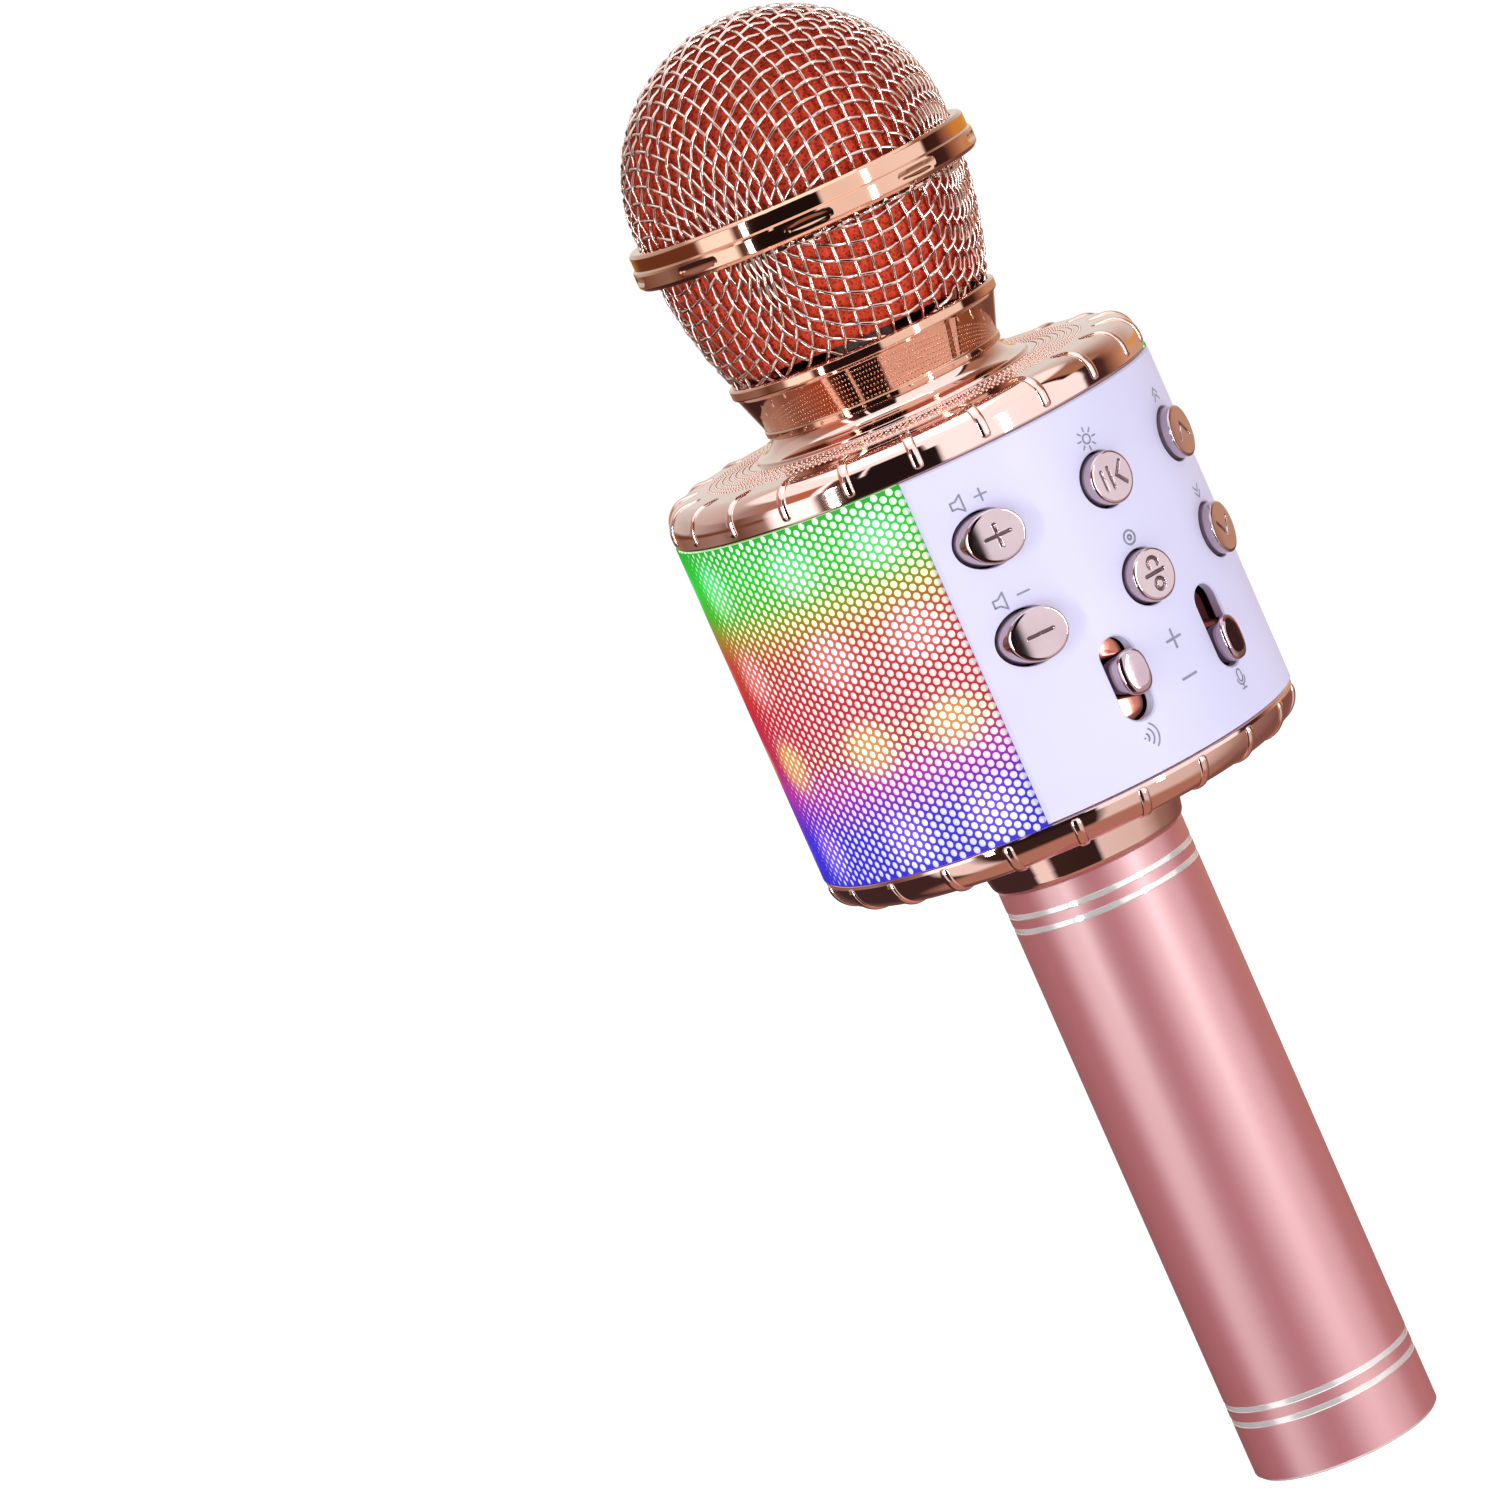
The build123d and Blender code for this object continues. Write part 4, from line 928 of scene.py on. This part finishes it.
def cap_mesh(x, z, outline, face_r, signs, back_r, rings=60, edge=0.5, stroke=0.42, groove=0.34):
    """A key or knob whose face follows the drum's curve. outline(t) gives its edge at a turn t.

    Also gives, for each face, whether it lies on the floor of an engraved stroke.
    """
    turns = np.linspace(0, 2 * pi, 224, endpoint=False)
    rim = np.array([outline(t) for t in turns])
    fractions = np.linspace(0, 1, rings + 1)[1:] ** 0.9
    verts = []
    floor = []
    spread = float(np.hypot(rim[:, 0], rim[:, 1]).min())

    def surface(u, v, drop):
        gaps = np.full(u.shape, 1e9)
        for points in signs:
            gaps = np.minimum(gaps, stroke_gap(u, v, points, stroke))
        floor.append(gaps < 0)
        rise = np.clip((gaps + 0.05) / 0.14, 0, 1)
        cut = groove * (1 - rise ** 2 * (3 - 2 * rise))
        return -(np.sqrt(face_r ** 2 - (x + u) ** 2) - cut - drop)

    for fraction in fractions:
        u, v = rim[:, 0] * fraction, rim[:, 1] * fraction
        from_edge = (1 - fraction) * spread
        drop = 0.0
        if from_edge < edge:
            drop = edge - sqrt(max(0, edge ** 2 - (edge - from_edge) ** 2))
        verts.append(np.column_stack([x + u, surface(u, v, drop), z + v]))
    side_x, side_z = x + rim[:, 0], z + rim[:, 1]
    side = np.sqrt(face_r ** 2 - side_x ** 2)
    for depth in (side - edge - 0.3, side - 2.5, np.sqrt(back_r ** 2 - side_x ** 2)):
        verts.append(np.column_stack([side_x, -depth, side_z]))
    count = len(turns)
    zero = np.zeros(1)
    centre = np.column_stack([[x], surface(zero, zero, 0.0), [z]])
    middle = len(verts) * count
    faces = [(a, d, c, b) for a, b, c, d in band_faces(0, count, len(verts) - 1)]
    faces += fan_faces(0, count, middle)
    sunk = np.zeros(middle + 1, bool)
    engraved = np.concatenate(floor)
    sunk[:rings * count] = engraved[:-1]
    sunk[middle] = engraved[-1]
    return np.vstack(verts + [centre]), faces, [bool(sunk[list(face)].all()) for face in faces]


def round_outline(radius):
    return lambda t: (radius * cos(t), radius * sin(t))


def oval_outline(width, height):
    """An upright slot shape with slightly squared ends."""
    def edge(t):
        c, s = cos(t), sin(t)
        power = 2.6
        reach_out = (abs(c) ** power + abs(s) ** power) ** (-1 / power)
        return (width / 2 * c * reach_out, height / 2 * s * reach_out)
    return edge


def build_keys():
    for name, (x, z) in KEY_PLACES.items():
        verts, faces, sunk = cap_mesh(x, z, round_outline(KEY_R), FACE_R, KEY_SIGNS[name], KEY_BACK_R)
        piece(name + "_cap", verts, faces, [KEY_PLATE, SHADED_SIGN_FLOOR], name, name, "key_plating", indices=sunk)


SKIRT_R = 36.45
SKIRT_WALL = 0.8
SKIRT_HALF = (3.4, 9.6)


def skirt_mesh(x, z, columns=16, rows=6):
    """The curved plate behind a slider's slot, closed all round, with a softened outer edge."""
    half_x, half_z = SKIRT_HALF
    xs = np.linspace(-half_x, half_x, columns)
    zs = np.linspace(-half_z, half_z, rows)
    verts = []
    for radius, trim in ((SKIRT_R, 0.0), (SKIRT_R + SKIRT_WALL - 0.2, 0.0), (SKIRT_R + SKIRT_WALL, 0.15)):
        for b in z + zs * (1 - trim / half_z):
            for a in x + xs * (1 - trim / half_x):
                verts.append((a, -sqrt(radius ** 2 - a ** 2), b))
    size = columns * rows
    inner = [quad[::-1] for quad in grid_faces(rows, columns)]
    outer = [tuple(2 * size + v for v in quad) for quad in grid_faces(rows, columns)]
    rim = list(range(columns)) + [columns * r - 1 for r in range(2, rows + 1)]
    rim += list(range(size - 2, size - columns - 1, -1)) + [columns * r for r in range(rows - 2, 0, -1)]
    sides = []
    for layer in (0, size):
        for here, after in zip(rim, rim[1:] + rim[:1]):
            sides.append((layer + here, layer + after, layer + size + after, layer + size + here))
    return verts, inner + outer + sides


def build_sliders():
    for name in ("echo_slider", "voice_slider"):
        low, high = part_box(name)
        x, z = (low.x + high.x) / 2 / MM, (low.z + high.z) / 2 / MM
        verts, faces, _sunk = cap_mesh(x, z, oval_outline(4.8, 7.2), PANEL_R + 2.6, [], SKIRT_R, 24, 0.8)
        piece(name + "_knob", verts, faces, SHADED_KNOB_PLATE, name, name, "key_plating")
        piece(name + "_skirt", *skirt_mesh(x, z), SHADED_SKIRT_PLATE, None, name, "key_plating")


# ---- printed signs on the panel

def printed(strokes, x, z, width):
    """Flat strokes laid on the panel's curve, as quads with round joints."""
    verts, faces = [], []
    radius = PANEL_R + 0.02

    def put(u, v):
        angle = (x + u) / PANEL_R
        verts.append((radius * sin(angle), -radius * cos(angle), z + v))

    for points in strokes:
        for start, end in zip(points, points[1:]):
            a, b = Vector(start), Vector(end)
            run = (b - a).normalized()
            side = Vector((-run.y, run.x)) * width / 2
            pieces = max(1, round((b - a).length / 0.6))
            base = len(verts)
            for k in range(pieces + 1):
                middle = a + (b - a) * k / pieces
                put(*(middle - side))
                put(*(middle + side))
            faces += [(base + 2 * k, base + 2 * k + 2, base + 2 * k + 3, base + 2 * k + 1) for k in range(pieces)]
        for spot in points:
            faces.append(tuple(range(len(verts), len(verts) + 10)))
            for u, v in circle_loop(*spot, width / 2, 10):
                put(u, v)
    return verts, faces


def speaker_sign(sign):
    body = [[(-2.6, -0.45), (-1.9, -0.45), (-1.1, -1.1), (-1.1, 1.1), (-1.9, 0.45), (-2.6, 0.45), (-2.6, -0.45)]]
    body.append([(0.6, 0), (2.2, 0)])
    if sign > 0:
        body.append([(1.4, -0.8), (1.4, 0.8)])
    return body


def sun_sign():
    rays = [[(cos(a), sin(a)), (1.5 * cos(a), 1.5 * sin(a))] for a in np.arange(8) * pi / 4]
    return rays + [arc(0, 0, 0.6, 0, 360, 16)]


def mic_sign():
    head = [(-0.45, 0.2), (-0.45, 0.9)] + arc(0, 0.9, 0.45, 180, 0, 8) + [(0.45, 0.2)]
    head += arc(0, 0.2, 0.45, 0, -180, 8)
    return [head, arc(0, 0.2, 0.85, -180, 0, 12), [(0, -0.65), (0, -1.2)], [(-0.5, -1.2), (0.5, -1.2)]]


def echo_sign():
    return [arc(-1.2, 0, r, -50, 50, 10) for r in (0.6, 1.3, 2.0)] + [[(-1.2, 0), (-1.15, 0)]]


SIGN_SCALE = 1.2


def build_print():
    """Generic signs in place of words, over the keys and under the sliders."""
    side = PANEL_R * math.asin(KEY_COLUMN / PANEL_R)
    slider = PANEL_R * math.asin(SLIDER_COLUMN / PANEL_R)
    upper, lower = (row + 6.4 for row in ROWS)
    double = [[(-1.0, -0.7), (0, 0.1), (1.0, -0.7)], [(-1.0, 0.1), (0, 0.9), (1.0, 0.1)]]
    flipped = [[(a, -b) for a, b in line] for line in double]
    rings = [arc(0, 0, 0.9, 0, 360), arc(0, 0, 0.3, 0, 360, 10)]
    minus = [[(-1.2, 0), (1.2, 0)]]
    signs = [
        (speaker_sign(1), -side, upper, 0.30), (speaker_sign(-1), -side, lower, 0.30),
        (sun_sign(), 0, upper + 0.2, 0.28), (rings, 0, lower, 0.34),
        (double, side, upper, 0.30), (flipped, side, lower, 0.30),
        (minus + [[(0, -1.2), (0, 1.2)]], 0, 132.2, 0.42), (minus, 0, 126.0, 0.42),
        (echo_sign(), -slider, 120.9, 0.30), (mic_sign(), slider, 121.2, 0.28),
    ]
    verts, faces = [], []
    for strokes, x, z, width in signs:
        bigger = [[(a * SIGN_SCALE, b * SIGN_SCALE) for a, b in line] for line in strokes]
        more, quads = printed(bigger, x, z, width)
        faces += [tuple(len(verts) + k for k in face) for face in quads]
        verts += more
    piece("panel_signs", verts, faces, PRINT, slot="panel_plastic")


# ---- neck and handle

def build_neck():
    low = HANDLE_HIGH
    high = NECK_HIGH
    profile = [(12, low + 0.05)] + rounded([
        (15.0, low + 0.05), (15.75, low + 0.05), (16.05, low + 0.6), (16.35, low + 2.0), (17.0, low + 4.6),
        (16.9, low + 6.0), (17.9, high),
    ], {1: 0.25, 2: 0.5, 3: 1.2, 4: 1.0, 5: 0.6}, 7)
    verts, faces = lathe(profile, 256)
    piece("neck_ring", verts, faces, PLATE, "lower_neck", slot="rose_plating")


def build_handle():
    """The tube with four diamond-cut lines and a bright chamfer."""
    radius, depth, width = HANDLE_R, 0.08, 1.0
    bottom = 0.5
    points = [(14.0, 0.6), (14.3, 0.0), (radius - bottom, 0.0), (radius, bottom)]
    marks = [0, 0, 1]
    for centre in (10.0, 12.7, HANDLE_HIGH - 6.6, HANDLE_HIGH - 4.1):
        edge, floor = width / 2, width * 0.4
        points += [(radius, centre - edge - 0.2), (radius, centre - edge), (radius - depth, centre - floor),
                   (radius - depth, centre + floor), (radius, centre + edge), (radius, centre + edge + 0.2)]
        marks += [0, 0, 1, 1, 1, 0]
    points += [(radius, HANDLE_HIGH - 0.4), (radius - 0.25, HANDLE_HIGH - 0.05), (14.0, HANDLE_HIGH - 0.05)]
    marks += [0, 0, 0]
    segments = 192
    verts, faces = lathe(points, segments)
    tube = piece("handle_shell", verts, faces, [ANODISED, SILVER_CUT], "handle_tube", slot="anodised",
                 indices=np.repeat(marks, segments))
    tube.data.set_sharp_from_angle(angle=radians(20))


# ---- finishes of the CAD parts that stay

def dress_cad():
    inner = {
        "circuit_board": ((0.010, 0.085, 0.035), (0.022, 0.15, 0.06), 300, (0.3, 0.5)),
        "inner_plastic": ((0.55, 0.55, 0.53), (0.66, 0.66, 0.64), 120, (0.4, 0.55)),
        "soft_rubber": ((0.012, 0.012, 0.012), (0.03, 0.03, 0.03), 400, (0.6, 0.8)),
        "component": ((0.012, 0.012, 0.013), (0.03, 0.03, 0.032), 600, (0.35, 0.5)),
        "connector": ((0.72, 0.68, 0.56), (0.82, 0.78, 0.66), 500, (0.35, 0.5)),
        "cone_paper": ((0.02, 0.02, 0.022), (0.05, 0.05, 0.052), 700, (0.7, 0.9), (0.4, 0.0001)),
        "battery_wrap": ((0.02, 0.07, 0.30), (0.03, 0.10, 0.40), 90, (0.2, 0.3)),
        "lead_jacket": ((0.30, 0.02, 0.02), (0.42, 0.03, 0.03), 500, (0.4, 0.5)),
        "light_chip": ((0.86, 0.84, 0.70), (0.95, 0.93, 0.85), 500, (0.2, 0.3)),
    }
    chosen = {slot: finish(slot, *tones) for slot, tones in inner.items()}
    steel = plating("zinc_steel", (0.42, 0.42, 0.44), (0.60, 0.60, 0.62), 300, (0.22, 0.4), (0.1, 0.00002))
    chosen |= dict.fromkeys(("capsule_metal", "fastener", "speaker_steel"), steel)
    chosen |= {
        "dark_plastic": DARK, "key_plating": KEY_PLATE, "panel_plastic": PANEL, "rose_plating": PLATE, "mesh": WIRE,
        "anodised": ANODISED, "window_metal": WINDOW_METAL, "diffuser": DIFFUSER, "foam": chosen["inner_plastic"],
    }
    for entry in frame["record"]["subparts"]:
        mesh = frame["nodes"][entry["node"]].data
        mesh.materials.clear()
        mesh.materials.append(chosen[entry["material_slot"]])


# ---- studio

SOFT_LIGHT = 0.40
FLOOR_Z = -0.05


def build_stage():
    """A plain pale floor under the white room, just below the end cap."""
    paint = Paint("floor", Roughness=0.8, Emission_Color=(1, 1, 1, 1), Emission_Strength=0.62)
    paint.colour(paint.noise(20), (0.93, 0.93, 0.93), (0.95, 0.95, 0.95))
    floor = shape("floor", *lathe([(r, FLOOR_Z) for r in (0.001, 100, 400, 900)], 96), [paint.material])
    floor.visible_glossy = False


def add_area(name, azimuth, elevation, distance, width, height, power):
    """A soft box aimed at the drum, placed by its angle from the camera's side, in degrees and millimetres."""
    light = bpy.data.lights.new(name, "AREA")
    light.shape = "RECTANGLE"
    light.size, light.size_y = width * MM, height * MM
    light.energy = power
    made = add_object(name, light)
    a, e = radians(azimuth), radians(elevation)
    direction = (TO_CAMERA * cos(a) + TO_RIGHT * sin(a)) * cos(e) + Vector((0, 0, sin(e)))
    made.location = (Vector((0, 0, AIM_Z)) + direction * distance) * MM
    made.rotation_euler = direction.to_track_quat("Z", "Y").to_euler()


# What the plating mirrors, by angle to the right of the camera in degrees and by height. BANDS gives the sine of
# the elevation where each band is full. A dark gap stands at the camera, a broad soft box to its right, a
# narrow one to its left, a soft ceiling over all, and warm floor light below.
DARK_GAP = (0.020, 0.012, 0.012)
SOFT_BOX = (1.35, 1.36, 1.40)
NARROW_BOX = (1.8, 1.8, 1.85)
LEFT_WALL = (0.44, 0.33, 0.30)
RIGHT_WALL = (0.80, 0.56, 0.42)
BACK_WALL = (0.84, 0.82, 0.76)
WARM = (0.52, 0.26, 0.19)
WHITE_ROOM = (1.4, 1.4, 1.4)
SIDES = [
    (-96, (0.20, 0.09, 0.06)), (-79, (0.40, 0.28, 0.24)), (-73, NARROW_BOX), (-52, NARROW_BOX),
    (-48, (0.16, 0.08, 0.06)), (-36, DARK_GAP), (10, DARK_GAP), (12, SOFT_BOX), (91, SOFT_BOX),
    (93, (0.05, 0.02, 0.02)),
    (108, (0.08, 0.035, 0.03)), (120, (0.50, 0.25, 0.15)),
]
HORIZON = [(-180, (0.50, 0.30, 0.20)), (-150, (0.30, 0.15, 0.10)), (-110, (0.40, 0.28, 0.24))] + SIDES
HORIZON += [(132, (0.80, 0.47, 0.30)), (165, (0.60, 0.38, 0.26))]
GOLDEN = [(-180, (0.70, 0.34, 0.08)), (-150, (0.20, 0.07, 0.03)), (-79, (0.22, 0.08, 0.04))] + SIDES[2:]
GOLDEN += [(132, (0.90, 0.44, 0.10)), (165, (0.80, 0.40, 0.08))]
LIFTED = [(-180, BACK_WALL), (-130, (0.60, 0.52, 0.48)), (-110, LEFT_WALL)] + SIDES + [(165, BACK_WALL)]
HIGHER = [
    (-180, BACK_WALL), (-120, (0.70, 0.60, 0.55)), (-100, LEFT_WALL), (-60, (0.62, 0.20, 0.10)),
    (-53, (0.62, 0.20, 0.10)), (-52, NARROW_BOX), (-48, NARROW_BOX), (-46, (0.20, 0.08, 0.06)), (-34, DARK_GAP),
    (-28, DARK_GAP), (-27, WHITE_ROOM), (-25, WHITE_ROOM), (-24, DARK_GAP), (5, DARK_GAP), (7, SOFT_BOX),
    (82, SOFT_BOX), (84, DARK_GAP), (88, DARK_GAP), (92, (0.50, 0.26, 0.14)), (120, (0.40, 0.22, 0.14)),
    (160, BACK_WALL),
]
DARK_LOW = [
    (-180, (0.24, 0.11, 0.09)), (-150, (0.06, 0.03, 0.03)), (-76, (0.06, 0.03, 0.03)), (-70, (1.10, 1.00, 0.95)),
    (-54, (1.10, 1.00, 0.95)), (-46, (0.05, 0.025, 0.02)), (10, (0.04, 0.02, 0.02)), (16, (0.95, 0.85, 0.80)),
    (70, (0.85, 0.72, 0.66)), (100, (0.40, 0.25, 0.20)), (140, (0.24, 0.11, 0.09)),
]
BANDS = [
    (-1.0, [(0, WARM)]), (-0.84, [(0, WARM)]), (-0.72, DARK_LOW), (-0.20, DARK_LOW), (-0.17, HORIZON),
    (-0.10, HORIZON), (-0.088, GOLDEN), (-0.03, GOLDEN), (0.04, LIFTED), (0.30, LIFTED), (0.36, HIGHER),
    (0.70, HIGHER), (0.75, [(0, WHITE_ROOM)]), (1.0, [(0, WHITE_ROOM)]),
]


def build_world():
    """The bands for mirrored rays, a soft even light for the others, and white for the camera."""
    world = bpy.data.worlds.new("studio")
    bpy.context.scene.world = world
    world.use_nodes = True
    world.cycles.sampling_method = "NONE"
    world.node_tree.nodes.clear()
    net = Nodes(world.node_tree)
    place = net.node("TexCoord", "Generated")
    right, ahead, up = (net.node("VectorMath", "Value", operation="DOT_PRODUCT", in_0=place, in_1=axis)
                        for axis in (TO_RIGHT, TO_CAMERA, Vector((0, 0, 1))))
    turn = net.remap(net.math("ARCTAN2", right, ahead), -pi, pi)
    mirrored, below = None, None
    for level, stops in BANDS:
        band = net.ramp(turn, [((angle + 180) / 360, tone) for angle, tone in stops])
        mirrored = net.mix(net.remap(up, below, level), mirrored, band) if mirrored else band
        below = level
    mirror = net.node("Background", in_Color=mirrored)
    soft = net.node("Background", in_Color=(1.0, 0.99, 0.985, 1), in_Strength=SOFT_LIGHT)
    backdrop = net.node("Background", in_Color=(1, 1, 1, 1))
    ray = net.node("LightPath").node.outputs
    seen = net.node("MixShader", in_0=ray["Is Glossy Ray"], in_1=soft, in_2=mirror)
    seen = net.node("MixShader", in_0=ray["Is Camera Ray"], in_1=seen, in_2=backdrop)
    net.feed(net.tree.nodes.new("ShaderNodeOutputWorld"), "Surface", seen)


ANODISED = anodised_finish()
WINDOW_METAL = window_metal()
DIFFUSER = diffuser_light()

add_camera()
dress_cad()
wire_cloth("dome_wire", dome_profile(), 24, RING_LOW + 2.5, 1e3, "grille_dome")
wire_cloth("basket_wire", basket_profile(), 24, COLLAR_HIGH - 1.2, RING_LOW + 2.5, "grille_basket")
build_foam()
build_ring()
build_collar()
build_top_cap()
build_bottom_cap()
front_holes = [lambda grow, x=x, z=z: circle_loop(x, z, KEY_HOLE_R + grow * 0.5) for x, z in KEY_PLACES.values()]
front_holes += [lambda grow, x=x: slot_loop(x, *SLOT, grow) for x in (-SLIDER_COLUMN, SLIDER_COLUMN)]
build_panel("front_panel_shell", "front_panel", -1, front_holes)
build_panel("back_panel_shell", "back_panel", 1, [])
for side in (-1, 1):
    build_window(side)
build_keys()
build_sliders()
build_print()
build_neck()
build_handle()

build_stage()
build_world()
add_area("right_box", 43, 3, 1000, 60, 700, 4.3)
add_area("left_box", -41, 3, 1000, 60, 700, 4.3)
add_area("top_box", 0, 86, 900, 700, 700, 1.0)
bpy.context.scene.view_settings.view_transform = "Standard"
